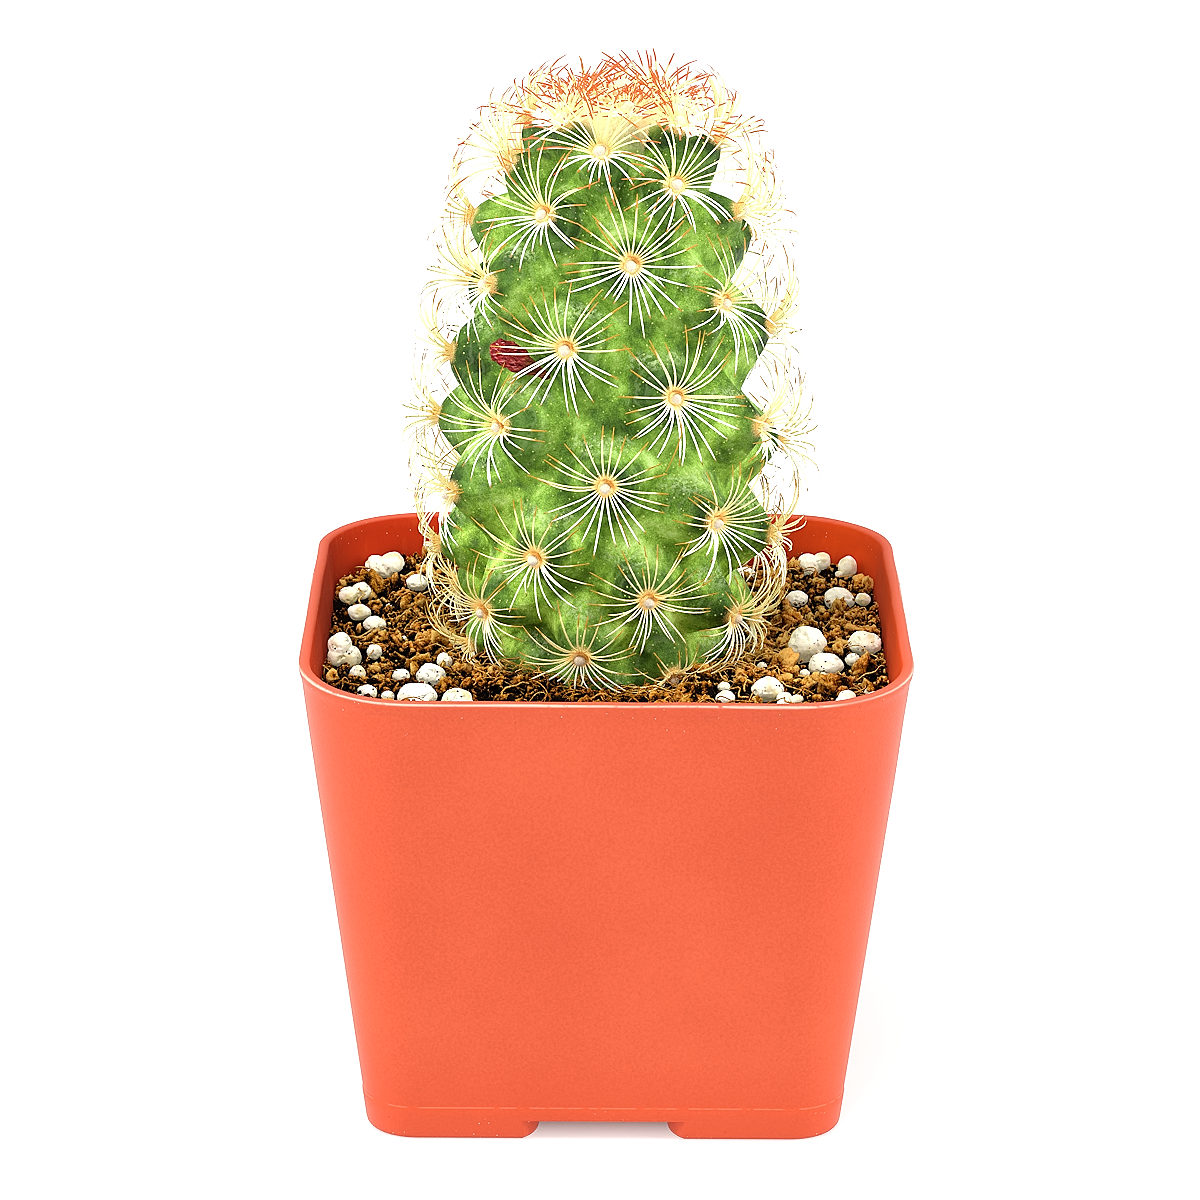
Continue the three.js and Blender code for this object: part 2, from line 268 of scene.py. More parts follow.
def makeCamera():
    elevation, azimuth, roll = (math.radians(view[name]) for name in ("elevation", "azimuth", "roll"))
    level = Vector((math.sin(azimuth), -math.cos(azimuth), 0))
    back = level * math.cos(elevation) + Vector((0, 0, math.sin(elevation)))
    right = Vector((0, 0, 1)).cross(back).normalized()
    up = back.cross(right)
    rolledRight = right * math.cos(roll) + up * math.sin(roll)
    rolledUp = up * math.cos(roll) - right * math.sin(roll)
    camera = bpy.data.objects.new("camera", bpy.data.cameras.new("camera"))
    camera.data.lens = view["lens"]
    camera.data.clip_start = 0.01
    place = Matrix((rolledRight, rolledUp, back)).transposed().to_4x4()
    place.translation = Vector(view["aim"]) + back * view["distance"]
    camera.matrix_world = place
    bpy.context.scene.collection.objects.link(camera)
    bpy.context.scene.camera = camera


def makeLights():
    aim = Vector(view["aim"])
    for name, place, width, watts in view["lamps"]:
        lamp = bpy.data.lights.new(name, "AREA")
        lamp.size = width
        lamp.energy = watts
        holder = bpy.data.objects.new(name, lamp)
        holder.location = place
        holder.rotation_euler = (aim - Vector(place)).to_track_quat("-Z", "Y").to_euler()
        bpy.context.scene.collection.objects.link(holder)
    world = bpy.data.worlds.new("white_room")
    world.use_nodes = True
    nodes, links = world.node_tree.nodes, world.node_tree.links
    nodes.clear()
    rays = nodes.new("ShaderNodeLightPath")
    glow = nodes.new("ShaderNodeMix")
    glow.inputs["A"].default_value = view["ambient"]
    glow.inputs["B"].default_value = view["backdrop"]
    room = nodes.new("ShaderNodeBackground")
    output = nodes.new("ShaderNodeOutputWorld")
    links.new(rays.outputs["Is Camera Ray"], glow.inputs["Factor"])
    links.new(glow.outputs["Result"], room.inputs["Strength"])
    links.new(room.outputs["Background"], output.inputs["Surface"])
    bpy.context.scene.world = world
    bpy.context.scene.view_settings.view_transform = "Standard"


def makeFloor():
    paint = Paint("white_floor", roughness=0.9, specular=0.1)
    place = paint.place()
    paint.colour(paint.blend(paint.noise(place, 0.05), (0.45, 0.45, 0.45), (0.48, 0.48, 0.48)))
    x, y = (paint.axis(place, name).math("ABSOLUTE") for name in "XY")
    # Painted shadow: the floor's glow dims to grey under the pot and fades out beyond it
    beyond = paint.band(x.math("MAXIMUM", x, y), *view["paintedPotShadowReach"])
    paint.glow(paint.blend(beyond, view["paintedPotShadow"], (1, 1, 1)), view["floorGlow"])
    bm = bmesh.new()
    bmesh.ops.create_grid(bm, x_segments=8, y_segments=8, size=2)
    bmesh.ops.translate(bm, verts=bm.verts, vec=(0, 0, -view["floorDrop"]))
    mesh = meshFrom(bm)
    mesh.materials.append(paint.material)
    floor = bpy.data.objects.new("floor", mesh)
    bpy.context.scene.collection.objects.link(floor)


# Crisps the picture's lightness a little, as a camera does
def makeFinish():
    scene = bpy.context.scene
    scene.use_nodes = True
    nodes, links = scene.node_tree.nodes, scene.node_tree.links
    nodes.clear()
    kinds = ("RLayers", "MixRGB", "Gamma", "RGBToBW", "Filter", "MixRGB", "MixRGB", "Gamma", "Composite")
    made = [nodes.new("CompositorNode" + kind) for kind in kinds]
    picture, clip, toEye, grey, crisp, gain, crisped, toLight, result = made
    clip.use_clamp = True
    clip.inputs["Fac"].default_value = 0
    toEye.inputs["Gamma"].default_value = 1 / view["gamma"]
    toLight.inputs["Gamma"].default_value = view["gamma"]
    crisp.filter_type = "SHARPEN_DIAMOND"
    crisp.inputs["Fac"].default_value = view["crispness"]
    gain.blend_type = "SUBTRACT"
    crisped.blend_type = "ADD"
    # from which node, to which and into which of its sockets
    wires = [
        (picture, clip, 1), (clip, toEye, 0), (toEye, grey, 0), (grey, crisp, 1),
        (crisp, gain, 1), (grey, gain, 2), (toEye, crisped, 1), (gain, crisped, 2),
        (crisped, toLight, 0), (toLight, result, 0),
    ]
    for source, target, socket in wires:
        links.new(source.outputs[0], target.inputs[socket])


makeCamera()
makeLights()
makeFloor()
makeFinish()
print("stage is set")

# The moulded pot
pot = {
    "height": 46,
    "baseHalf": 22.5,
    "topHalf": 28.5,
    "baseCorner": 4.8,
    "topCorner": 11.2,
    "wall": 1,
    "lineHeight": 3.5,
    "lineStep": 0.08,
    "floor": 3.1,
    "cornerSteps": 14,
    "sideSteps": 16,
    "wobble": 0.07,
    "channelHalf": 6.1,
    "channelHeight": 2.1,
    "footCorner": 3.4,
    "footReach": 23.3,
    "footRound": 0.8,
    "lip": 0.15,
    "rise": 0.5,
    "drainRadius": 2,
    "drainDistance": 13,
    "drainSides": 40,
    "orange": [(0.3, (0.607, 0.064, 0.015)), (0.5, (0.694, 0.086, 0.023)), (0.7, (0.760, 0.111, 0.035))],
    # the inside's colour: the same plastic, painted darker as shade
    "shadedLining": (0.57, 0.032, 0.001),
}


def potHalfAt(z):
    return mix(pot["baseHalf"], pot["topHalf"], z / pot["height"])


def potCornerAt(z):
    return mix(pot["baseCorner"], pot["topCorner"], z / pot["height"])


# How far the rounded square with this half width and corner reaches, over what a square would
def roundedReach(x, y, half, corner):
    across, along = np.maximum(abs(x), abs(y)), np.minimum(abs(x), abs(y))
    length = np.hypot(across, along) + 1e-9
    cosine, sine = across / length, along / length
    middle = half - corner
    both = middle * (cosine + sine)
    arc = both + np.sqrt(np.maximum(both**2 - 2 * middle**2 + corner**2, 0))
    flat = half / cosine
    return np.where(sine / cosine * half > middle, np.minimum(arc, flat), flat) / flat


# A point of the pot's outline: which of the ring's steps, at what height and inset
def potPoint(step, z, inset):
    perSide = pot["cornerSteps"] + pot["sideSteps"]
    side, rest = divmod(step, perSide)
    middle = potHalfAt(z) - potCornerAt(z)
    radius = potCornerAt(z) - inset
    turn = min(rest / pot["cornerSteps"], 1) * math.pi / 2
    slide = max(rest - pot["cornerSteps"], 0) / pot["sideSteps"]
    x = middle * (1 - 2 * slide) + radius * math.cos(turn)
    point = Vector((x, middle + radius * math.sin(turn), z))
    return Matrix.Rotation(side * math.pi / 2, 3, "Z") @ point


# The wall's section from the middle of the foot, up the outside, over the rim and down the inside
def potSection():
    top, wall, line, step, lip = (pot[name] for name in ("height", "wall", "lineHeight", "lineStep", "lip"))
    # the sole's rounding and the moulding line
    section = [(0, 0.7 - step), (0.04, 0.4 - step), (0.15, 0.18 - step), (0.35, 0.05 - step), (0.7, -step)]
    section += [(line - 0.9, -step), (line - 0.05, -step), (line + 0.04, -0.02), (line + 0.3, 0)]
    section += [(z, 0) for z in np.linspace(5, top - 2, 14)]
    # the lip and the rim's rounding
    section += [(top - 1.5, 0), (top - 1.1, -0.4 * lip), (top - 0.8, -0.9 * lip), (top - 0.3, -lip)]
    section += [(top - 0.13, 0.04 - lip), (top - 0.03, 0.14 - lip), (top, 0.28 - lip), (top, wall - 0.3)]
    section += [(top - 0.1, wall - 0.1), (top - 0.35, wall)]
    # the inside, down to the floor
    section += [(z, wall) for z in np.linspace(top - 1.2, 5, 12)]
    section += [(pot["floor"] + 0.5, wall + 0.12), (pot["floor"], wall + 0.6)]
    return section


def makePotShell():
    steps = 4 * (pot["cornerSteps"] + pot["sideSteps"])
    bm = bmesh.new()
    bmesh.ops.create_circle(bm, segments=steps, radius=1, cap_ends=False)
    stepOf = bm.verts.layers.int.new("step")
    for i, vert in enumerate(bm.verts):
        vert[stepOf] = i
    rim = bm.edges[:]
    for row, (z, inset) in enumerate(potSection()):
        if row:
            rim = bmesh.ops.extrude_edge_only(bm, edges=rim)["geom"]
            rim = [part for part in rim if isinstance(part, bmesh.types.BMEdge)]
        else:
            bmesh.ops.contextual_create(bm, geom=rim)
        for vert in {vert for edge in rim for vert in edge.verts}:
            vert.co = potPoint(vert[stepOf], z, inset)
    bmesh.ops.contextual_create(bm, geom=rim)
    for vert in bm.verts:
        sway = smoothstep(vert.co.z, 30, pot["height"]) * pot["wobble"]
        out = Vector((vert.co.x, vert.co.y, 0)).normalized()
        vert.co += out * noise.noise(vert.co * 0.11) * sway * 2
        if vert.co.z > pot["height"] - 0.5:
            vert.co.z += noise.noise(vert.co * 0.23 + Vector((9, 0, 0))) * sway
    bmesh.ops.recalc_face_normals(bm, faces=bm.faces)
    return meshFrom(bm)


def roundEdges(bm, edges, radius, segments):
    settings = {"segments": segments, "profile": 0.5, "material": -1, "affect": "EDGES"}
    return set(bmesh.ops.bevel(bm, geom=edges, offset=radius, **settings)["verts"])


# What the channels under the pot cut away: a slab without the four feet
def makeChannelCutter():
    low, high = pot["channelHalf"], pot["footReach"]
    feet = bmesh.new()
    for quarter in range(4):
        made = bmesh.ops.create_cube(feet, size=1)["verts"]
        bmesh.ops.scale(feet, verts=made, vec=(high - low, high - low, 10))
        bmesh.ops.translate(feet, verts=made, vec=((low + high) / 2, (low + high) / 2, 4.98))
        outer = max(vert.co.x + vert.co.y for vert in made)
        upright = {e for v in made for e in v.link_edges if e.verts[0].co.xy == e.verts[1].co.xy}
        corners = [e for e in upright if e.verts[0].co.x + e.verts[0].co.y < outer - 1]
        rounded = roundEdges(feet, corners, pot["footCorner"], 10)
        turned = {vert for vert in made if vert.is_valid} | rounded
        soles = {e for v in turned for e in v.link_edges if max(end.co.z for end in e.verts) < 0}
        rounded = roundEdges(feet, list(soles), pot["footRound"], 6)
        turned = {vert for vert in turned if vert.is_valid} | rounded
        turn = Matrix.Rotation(quarter * math.pi / 2, 3, "Z")
        bmesh.ops.rotate(feet, verts=list(turned), cent=(0, 0, 0), matrix=turn)
    slab = bmesh.new()
    bmesh.ops.create_cube(slab, size=1)
    bmesh.ops.scale(slab, verts=slab.verts, vec=(3 * high, 3 * high, 2 * pot["channelHeight"]))
    return cutMesh(meshFrom(slab), meshFrom(feet))


def makeDrillBits():
    bits = bmesh.new()
    reach = pot["drainDistance"]
    for x, y in ((0, 0), (reach, 0), (-reach, 0), (0, reach), (0, -reach)):
        place = Matrix.Translation((x, y, pot["floor"]))
        radius, sides = pot["drainRadius"], pot["drainSides"]
        bmesh.ops.create_cone(
            bits, cap_ends=True, segments=sides, radius1=radius, radius2=radius, depth=4, matrix=place
        )
    return meshFrom(bits)


# One mesh with another cut out of it
def cutMesh(mesh, cutter):
    body = bpy.data.objects.new("body", mesh)
    knife = bpy.data.objects.new("knife", cutter)
    for item in (body, knife):
        bpy.context.scene.collection.objects.link(item)
    cut = body.modifiers.new("cut", "BOOLEAN")
    cut.object = knife
    cut.operation = "DIFFERENCE"
    cut.solver = "EXACT"
    shaped = bpy.data.meshes.new_from_object(body.evaluated_get(bpy.context.evaluated_depsgraph_get()))
    for item in (body, knife):
        bpy.data.objects.remove(item)
    return shaped


def paintPot():
    paint = Paint("orange_pot_plastic", roughness=0.45, specular=0.2)
    place = paint.place()
    height, inside = paint.attribute("height"), paint.attribute("inside")
    broad, fine = paint.noise(place, 0.05, 3, 0.6), paint.noise(place, 3.2, 4, 0.75)
    scuffs = paint.band(paint.noise(paint.place((1, 1, 0.3)), 0.8, 4, 0.7), 0.5, 0.75)
    # Painted shade inside the pot, with real scuffs over it
    shadedLining = paint.coats(
        pot["shadedLining"],
        (scuffs * 0.3, (0.72, 0.10, 0.012)),
        # painted light on the inside's right wall
        (paint.band(paint.axis(place, "X"), 14, 24) * 0.7, (0.78, 0.070, 0.002)),
        (paint.band(height, 44, 41) * 0.5, (0.36, 0.02, 0.002)),  # darker lower down, towards the soil
    )
    some = paint.noise(place, 0.9, 1, 0.5)
    specks = paint.band(paint.cells(place, 1.4), 0.12, 0.06)
    specks = specks * (paint.band(height, 41, 45) + paint.band(height, 4, 2))
    pale = specks * paint.band(some, 0.5, 0.56)
    dark = specks * paint.band(some, 0.46, 0.4)
    line = paint.band(height, 3.42, 3.48) * paint.band(height, 3.6, 3.54) * paint.band(some, 0.32, 0.5)
    edge = paint.attribute("edge") * paint.band(paint.noise(place, 0.7, 3, 0.7), 0.28, 0.46)
    paint.colour(paint.coats(
        paint.ramp(broad * 0.45 + fine * 0.55, *pot["orange"]),
        (paint.band(height, 10, 2) * 0.5, (0.67, 0.066, 0.011)),  # painted shade, darker towards the foot
        (inside, shadedLining),
        (pale.clip() * 0.8, (1, 0.42, 0.30)),
        (dark.clip() * 0.6, (0.30, 0.02, 0.006)),
        # painted highlight along the moulding line
        (line * 0.28, (0.90, 0.30, 0.18)),
        (paint.band(height, 0.4, 0) * 0.5, (0.30, 0.02, 0.004)),  # painted shade along the sole
        (paint.band(height - inside * 0.2, 45.5, 45.8) * 0.8, (0.70, 0.13, 0.07)),  # the rim
        # painted highlight along the rim's outer edge
        (edge * 0.7, (1, 0.68, 0.54)),
    ))
    paint.rough(mix(0.38, 0.52, broad) + inside * 0.4)
    paint.plug(paint.shader.inputs["Coat Weight"], 0.3 - inside * 0.3)
    paint.shader.inputs["Coat Roughness"].default_value = 0.28
    ripple = paint.noise(place, 0.35, 2, 0.5)
    paint.bump(ripple * 0.05 + fine * 0.02 + pale * 0.03)
    return paint


def makePot():
    shell = cutMesh(makePotShell(), makeChannelCutter())
    shell = cutMesh(shell, makeDrillBits())
    x, y, z = pointsOf(shell).T
    half = potHalfAt(z)
    reach = np.maximum(abs(x), abs(y)) / (half * roundedReach(x, y, half, potCornerAt(z)))
    addAttribute(shell, "inside", (reach < 1 - 0.5 * pot["wall"] / half) & (z > pot["channelHeight"] + 0.1))
    inset = half * (1 - reach)
    # the rim's outer edge, where a painted highlight goes
    addAttribute(shell, "edge", smoothstep(inset, 0.02, -0.1) * smoothstep(z, 45.76, 45.88))
    addAttribute(shell, "height", z)
    # The rim stands a little higher at the sides than in front
    z += pot["rise"] * smoothstep(z, 34, 46) * smoothstep(y, -29, -15) * mix(1, 0.6, smoothstep(y, 8, 28))
    setPoints(shell, np.stack([x, y, z], axis=1))
    piece = finishPiece("pot_shell", shell, paintPot(), ["pot"])
    piece.data.set_sharp_from_angle(angle=math.radians(40))


makePot()
print("pot is moulded")

# Soil
soil = {
    "level": 41.7,
    "cells": 230,
    "seed": 4,
    "spread": 27,
    "stemClear": 12.6,
    "bedDepth": 0.55,
    "bedRough": 0.5,
    # the waves that dent a lump: how many on it, how deep
    "dents": [(1.6, 0.2), (2.4, 0.16), (3.6, 0.1), (5.5, 0.07)],
    # count, smallest and largest size, fineness and blockiness of the ball, how far raised, tones
    "lumps": {
        "bark_chunks": (400, 1.1, 2.6, 3, 0.6, (-0.2, 0.2), (0.1, 0.7)),
        "soil_crumbs": (1700, 0.5, 1.3, 2, 0.8, (-0.2, 0.45), (0, 0.8)),
        "soil_grit": (3200, 0.2, 0.5, 1, 0.9, (-0.2, 1.2), (0.1, 1.1)),
    },
    "fibres": 950,
    "fibreSpread": 26,
    "fibreLength": (1.2, 4.5),
    "fibreRadius": (0.05, 0.13),
    "fibreTone": (0.35, 0.95),
    "browns": [
        (0.16, (0.004, 0.0015, 0.0005)), (0.28, (0.055, 0.016, 0.001)), (0.40, (0.27, 0.085, 0.002)),
        (0.56, (0.55, 0.205, 0.008)), (0.85, (0.88, 0.53, 0.125)),
    ],
}


def soilHeight(x, y):
    broad = 0.5 * np.sin(0.31 * x + 0.8) * np.cos(0.27 * y - 0.5)
    lumps = 0.4 * np.sin(0.83 * x - 0.61 * y + 1.3) * np.sin(0.54 * x + 0.87 * y)
    return soil["level"] + broad + lumps


# Stores how far each point stands over the soil's mean surface and its own lump's, and how near the stem,
# for the soil's painted light and shade
def addHeights(mesh, ridge=0):
    x, y, z = pointsOf(mesh).T
    addAttribute(mesh, "top", z - soilHeight(x, y))
    addAttribute(mesh, "ridge", np.clip(ridge + np.zeros(len(x)), -1, 1))
    addAttribute(mesh, "shaded", smoothstep(np.hypot(x - stem["x"], y - stem["y"]), 16, 12.5))


def makeSoilBed(paint):
    half = potHalfAt(soil["level"]) - pot["wall"] + 0.05
    corner = potCornerAt(soil["level"]) - pot["wall"] + 0.05
    bm = bmesh.new()
    bmesh.ops.create_grid(bm, x_segments=soil["cells"], y_segments=soil["cells"], size=half)
    for vert in bm.verts:
        x, y = vert.co.xy
        edge = (max(abs(x), abs(y)) / half) ** 4
        vert.co.xy *= mix(1, float(roundedReach(x, y, half, corner)), edge)
        x, y = vert.co.xy
        lump = noise.fractal(Vector((x, y, 3)) * 0.55, 1, 2, 5)
        vert.co.z = soilHeight(x, y) - soil["bedDepth"] + soil["bedRough"] * lump
    edges = [edge for edge in bm.edges if edge.is_boundary]
    skirt = bmesh.ops.extrude_edge_only(bm, edges=edges)["geom"]
    base = pot["floor"] + 0.3
    narrow = (potHalfAt(base) - pot["wall"] - 0.6) / half
    for vert in (part for part in skirt if isinstance(part, bmesh.types.BMVert)):
        vert.co = Vector((vert.co.x * narrow, vert.co.y * narrow, base))
    bmesh.ops.contextual_create(bm, geom=[part for part in skirt if isinstance(part, bmesh.types.BMEdge)])
    bmesh.ops.recalc_face_normals(bm, faces=bm.faces)
    mesh = meshFrom(bm)
    # the bed under the lumps is toned near black: painted shade for the gaps between them
    addAttribute(mesh, "tone", np.full(len(mesh.vertices), 0.05))
    addHeights(mesh)
    finishPiece("soil_bed", mesh, paint, ["soil"])


def paintSoil():
    paint = Paint("peat_and_bark", roughness=0.62, specular=0.05)
    place = paint.place()
    tone = paint.attribute("tone")
    coarse = paint.noise(place, 0.9, 4, 0.6)
    grainy = paint.noise(place, 4.5, 3, 0.65)
    strands = paint.noise(paint.place((1, 1, 0.35), (0.5, 0.3, 0.8)), 3.2, 3, 0.6, 0.8)
    top = paint.band(paint.attribute("top"), -0.5, 1.0)
    towardsLeft = paint.band(paint.axis(place, "X"), 12, -6)
    ridge = paint.attribute("ridge")
    front = paint.band(paint.axis(place, "Y"), -9, -15)
    # Painted light and shade: points standing higher and the bumps of each lump are lighter, dents and the
    # ground by the stem darker. The soil is also darker towards the left and towards the front.
    mark = tone * 0.5 + top * 0.4 + ridge * 0.38 + coarse * 0.4 + grainy * 0.85 + strands * 0.75
    mark = mark - towardsLeft * 0.12 - front * 0.26 - paint.attribute("shaded") * 0.18 - 0.96
    reddish = paint.band(paint.noise(place, 0.28, 2, 0.5), 0.44, 0.58)
    paint.colour(paint.blend(reddish * 0.8, paint.ramp(mark, *soil["browns"]), (1, 0.80, 0.70), "MULTIPLY"))
    paint.rough(mix(0.5, 0.8, coarse))
    paint.bump(grainy * 0.2 + strands * 0.16)
    return paint


# The grains of perlite by their nodes' boxes in millimetres
grainBoxes = {}
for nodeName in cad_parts:
    if nodeName.startswith("perlite_"):
        low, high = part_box(nodeName)
        grainBoxes[nodeName] = (np.array(low) / mm, np.array(high) / mm)


# Each grain as a disc on the soil: its middle, half width and top
def grainDiscs():
    for low, high in grainBoxes.values():
        yield (low + high) / 2, (high - low)[:2].max() / 2, high[2]


# How far out a place may be before the pot's wall, as a share of its own distance
def roomAt(x, y, margin):
    half = potHalfAt(soil["level"]) - pot["wall"] - margin
    corner = potCornerAt(soil["level"]) - pot["wall"] - margin
    return roundedReach(x, y, half, corner) * half / np.maximum(np.maximum(abs(x), abs(y)), 1e-6)


# True where a lump lies clear of the stem, the pot's wall and the grains, most of all before them
def isFree(x, y, size):
    free = roomAt(x, y, size * 0.42) > 1
    free &= np.hypot(x - stem["x"], y - stem["y"]) > soil["stemClear"] + size * 0.3
    for middle, wide, _ in grainDiscs():
        ahead = np.maximum(middle[1] - y, 0)
        away = np.hypot(x - middle[0], y - middle[1]) - 0.55 * np.minimum(ahead, 1.2 * size)
        free &= away > wide * 0.92 + size * 0.3
    return free


# Lumps of soil: each a copy of one ball, squashed, turned and dented in its own way
def makeLumps(name, paint, seed):
    count, smallest, largest, fineness, blocky, raised, tones = soil["lumps"][name]
    draw = np.random.default_rng(seed)
    x, y = draw.uniform(-soil["spread"], soil["spread"], (2, count * 3))
    size = mix(smallest, largest, draw.random(count * 3) ** 2)
    keep = np.nonzero(isFree(x, y, size))[0][:count]
    x, y, size = x[keep], y[keep], size[keep]
    ball = bmesh.new()
    bmesh.ops.create_icosphere(ball, subdivisions=fineness, radius=1)
    template = meshFrom(ball)
    unit = pointsOf(template)
    unit = np.sign(unit) * abs(unit) ** blocky
    mesh = repeatMesh(template, len(keep))
    stretch = draw.uniform(0.34, 1, (len(keep), 3))
    stretch /= stretch.max(axis=1, keepdims=True)
    waveCounts, heights = np.array(soil["dents"]).T
    waves = draw.normal(0, 1, (len(keep), len(heights), 3)) * waveCounts[None, :, None]
    phases = draw.uniform(0, 6.3, (len(keep), len(heights), 1))
    dents = np.sin(np.einsum("nkc,vc->nkv", waves, unit) + phases)
    radius = 1 + np.einsum("k,nkv->nv", heights, dents)
    if fineness > 1:
        shifts = draw.uniform(-50, 50, (len(keep), 3))
        rough = [noise.fractal(Vector(u * 1.6 + shift), 0.6, 2.2, 3) for shift in shifts for u in unit]
        radius += 0.55 * np.array(rough).reshape(len(keep), -1)
    points = unit[None] * radius[..., None] * stretch[:, None] * size[:, None, None] / 2
    axes = draw.normal(0, 1, (len(keep), 3))
    turns = rotations([(axis, angle) for axis, angle in zip(axes, draw.uniform(0, 6.3, len(keep)))])
    points = np.einsum("nij,nvj->nvi", turns, points)
    z = soilHeight(x, y) + size * draw.uniform(*raised, len(keep))
    points += np.stack([x, y, z], axis=1)[:, None]
    setPoints(mesh, points.reshape(-1, 3))
    tone = mix(*tones, draw.random(len(keep)) ** 1.4)
    addAttribute(mesh, "tone", np.repeat(tone, len(unit)))
    addHeights(mesh, ((radius - radius.mean(axis=1, keepdims=True)) * 2.6).ravel())
    finishPiece(name, mesh, paint, smooth=fineness > 1)


# A thin strand with its parts spread along it, to be bent by a formula
def strandTemplate(sides, steps):
    bm = bmesh.new()
    bmesh.ops.create_cone(bm, cap_ends=True, segments=sides, radius1=1, radius2=1, depth=1)
    bmesh.ops.translate(bm, verts=bm.verts, vec=(0, 0, 0.5))
    for step in range(1, steps):
        everything = bm.verts[:] + bm.edges[:] + bm.faces[:]
        height = (step / steps) ** 1.3
        bmesh.ops.bisect_plane(bm, geom=everything, plane_co=(0, 0, height), plane_no=(0, 0, 1))
    return meshFrom(bm)


def makeFibres(paint):
    draw = np.random.default_rng(soil["seed"] + 9)
    count = soil["fibres"]
    x, y = draw.uniform(-soil["fibreSpread"], soil["fibreSpread"], (2, count * 4))
    # most of them lie by the stem, to its right and before it
    nearStem = np.hypot(x - stem["x"], y - stem["y"])
    chance = mix(1, 0.25, smoothstep(nearStem, 13, 18))
    chance *= mix(mix(1, 0.2, smoothstep(nearStem, 13, 15)), 1, smoothstep(x, -12, 2))
    farRight = smoothstep(x, 11, 17) * smoothstep(y, -16, -8)
    chance *= mix(1, 0.4, smoothstep(y, 4, 12)) * mix(1, 0.4, farRight)
    keep = np.nonzero(isFree(x, y, 0.6) & (draw.random(count * 4) < chance))[0][:count]
    x, y = x[keep], y[keep]
    count = len(keep)
    template = strandTemplate(4, 9)
    unit = pointsOf(template)
    mesh = repeatMesh(template, count)
    share = unit[None, :, 2] * np.ones((count, 1))
    heading = draw.uniform(0, 6.3, (count, 1))
    length = draw.uniform(*soil["fibreLength"], (count, 1))
    curl = draw.normal(0, 1.3, (count, 1))
    swing = draw.uniform(0.1, 0.35, (count, 1))
    sway = swing * np.sin(share * draw.uniform(5, 14, (count, 1)) + heading * 5)
    direction = heading + curl * share
    alongX = x[:, None] + np.cos(direction) * length * share - np.sin(direction) * sway
    alongY = y[:, None] + np.sin(direction) * length * share + np.cos(direction) * sway
    room = np.minimum(roomAt(alongX, alongY, 0.4), 1)
    alongX, alongY = alongX * room, alongY * room
    lift = draw.uniform(0.1, 0.9, (count, 1)) * np.sin(np.pi * share) + draw.uniform(0.15, 0.6, (count, 1))
    alongZ = soilHeight(alongX, alongY) + lift
    radius = draw.uniform(*soil["fibreRadius"], (count, 1)) * (1 - 0.5 * share)
    normal = np.stack([-np.sin(direction), np.cos(direction), np.zeros_like(share)], axis=-1)
    points = np.stack([alongX, alongY, alongZ], axis=-1) + normal * (unit[None, :, 0] * radius)[..., None]
    points[..., 2] += unit[None, :, 1] * radius
    setPoints(mesh, points.reshape(-1, 3))
    tone = draw.uniform(*soil["fibreTone"], count) + 0.35 * smoothstep(nearStem[keep], 16, 13)
    addAttribute(mesh, "tone", np.repeat(tone, len(unit)))
    addHeights(mesh, 0.4)
    finishPiece("soil_fibres", mesh, paint)


# The stem: the line through its tubercle tips as radius and height, then its buried end
stem = {
    "tips": [
        (0, 96), (4, 95.4), (8, 93.5), (10.8, 90), (12.9, 85.5), (14.3, 79.5),
        (15.6, 71.5), (16.6, 63), (16.4, 55), (15.5, 48), (14, 43.6), (12, 41),
    ],
    "root": [(9.3, 37.6), (5.5, 35), (2.4, 31.5), (1.3, 27), (0.5, 21), (0, 20.8)],
    "x": 0.2,
    "y": 1,
    "lean": 0.015,
    "leanHeight": 70,
    "columns": 330,
    "rows": 250,
    "buriedRows": 16,
    "tubercleHeight": 3.9,
    "crease": 0.25,
    "crinkle": 0.12,
    "crownFade": 11,
    "soilFade": 3,
    "lineSteps": 40,
    # the spiral of areoles, counted from the crown
    "areoles": 73,
    "turn": 99.56,
    "start": 38.2,
    "grownFrom": 28,
    "oldFrom": 42,
    "spacing": (0.2, 0.56, 0.0102, 1.15, 0.0087),
    "greens": [
        (0.34, (0.020, 0.060, 0.004)), (0.435, (0.082, 0.190, 0.013)), (0.515, (0.202, 0.400, 0.033)),
        (0.59, (0.390, 0.640, 0.110)), (0.68, (0.630, 0.850, 0.350)),
    ],
    "down": [(0.36, (0.80, 0.64, 0.28)), (0.5, (0.90, 0.77, 0.40)), (0.64, (0.97, 0.88, 0.54))],
}


# A smooth line through points, as fine steps
def lineThrough(points):
    padded = np.array([points[0], *points, points[-1]], dtype=float)
    share = np.linspace(0, 1, stem["lineSteps"], endpoint=False)[:, None]
    rows = []
    for before, a, b, after in zip(padded, padded[1:], padded[2:], padded[3:]):
        leave, arrive = (b - before) / 2, (after - a) / 2
        cubic = 2 * a - 2 * b + leave + arrive
        square = 3 * b - 3 * a - 2 * leave - arrive
        rows.append(cubic * share**3 + square * share**2 + leave * share + a)
    return np.vstack([*rows, padded[-1:]])


stemLine = lineThrough(stem["tips"] + stem["root"])
stemAlong = np.concatenate([[0], np.cumsum(np.linalg.norm(np.diff(stemLine, axis=0), axis=1))])
stemRun = np.gradient(stemLine, stemAlong, axis=0)
tipSteps = stem["lineSteps"] * (len(stem["tips"]) - 1)
stemLength = stemAlong[tipSteps]


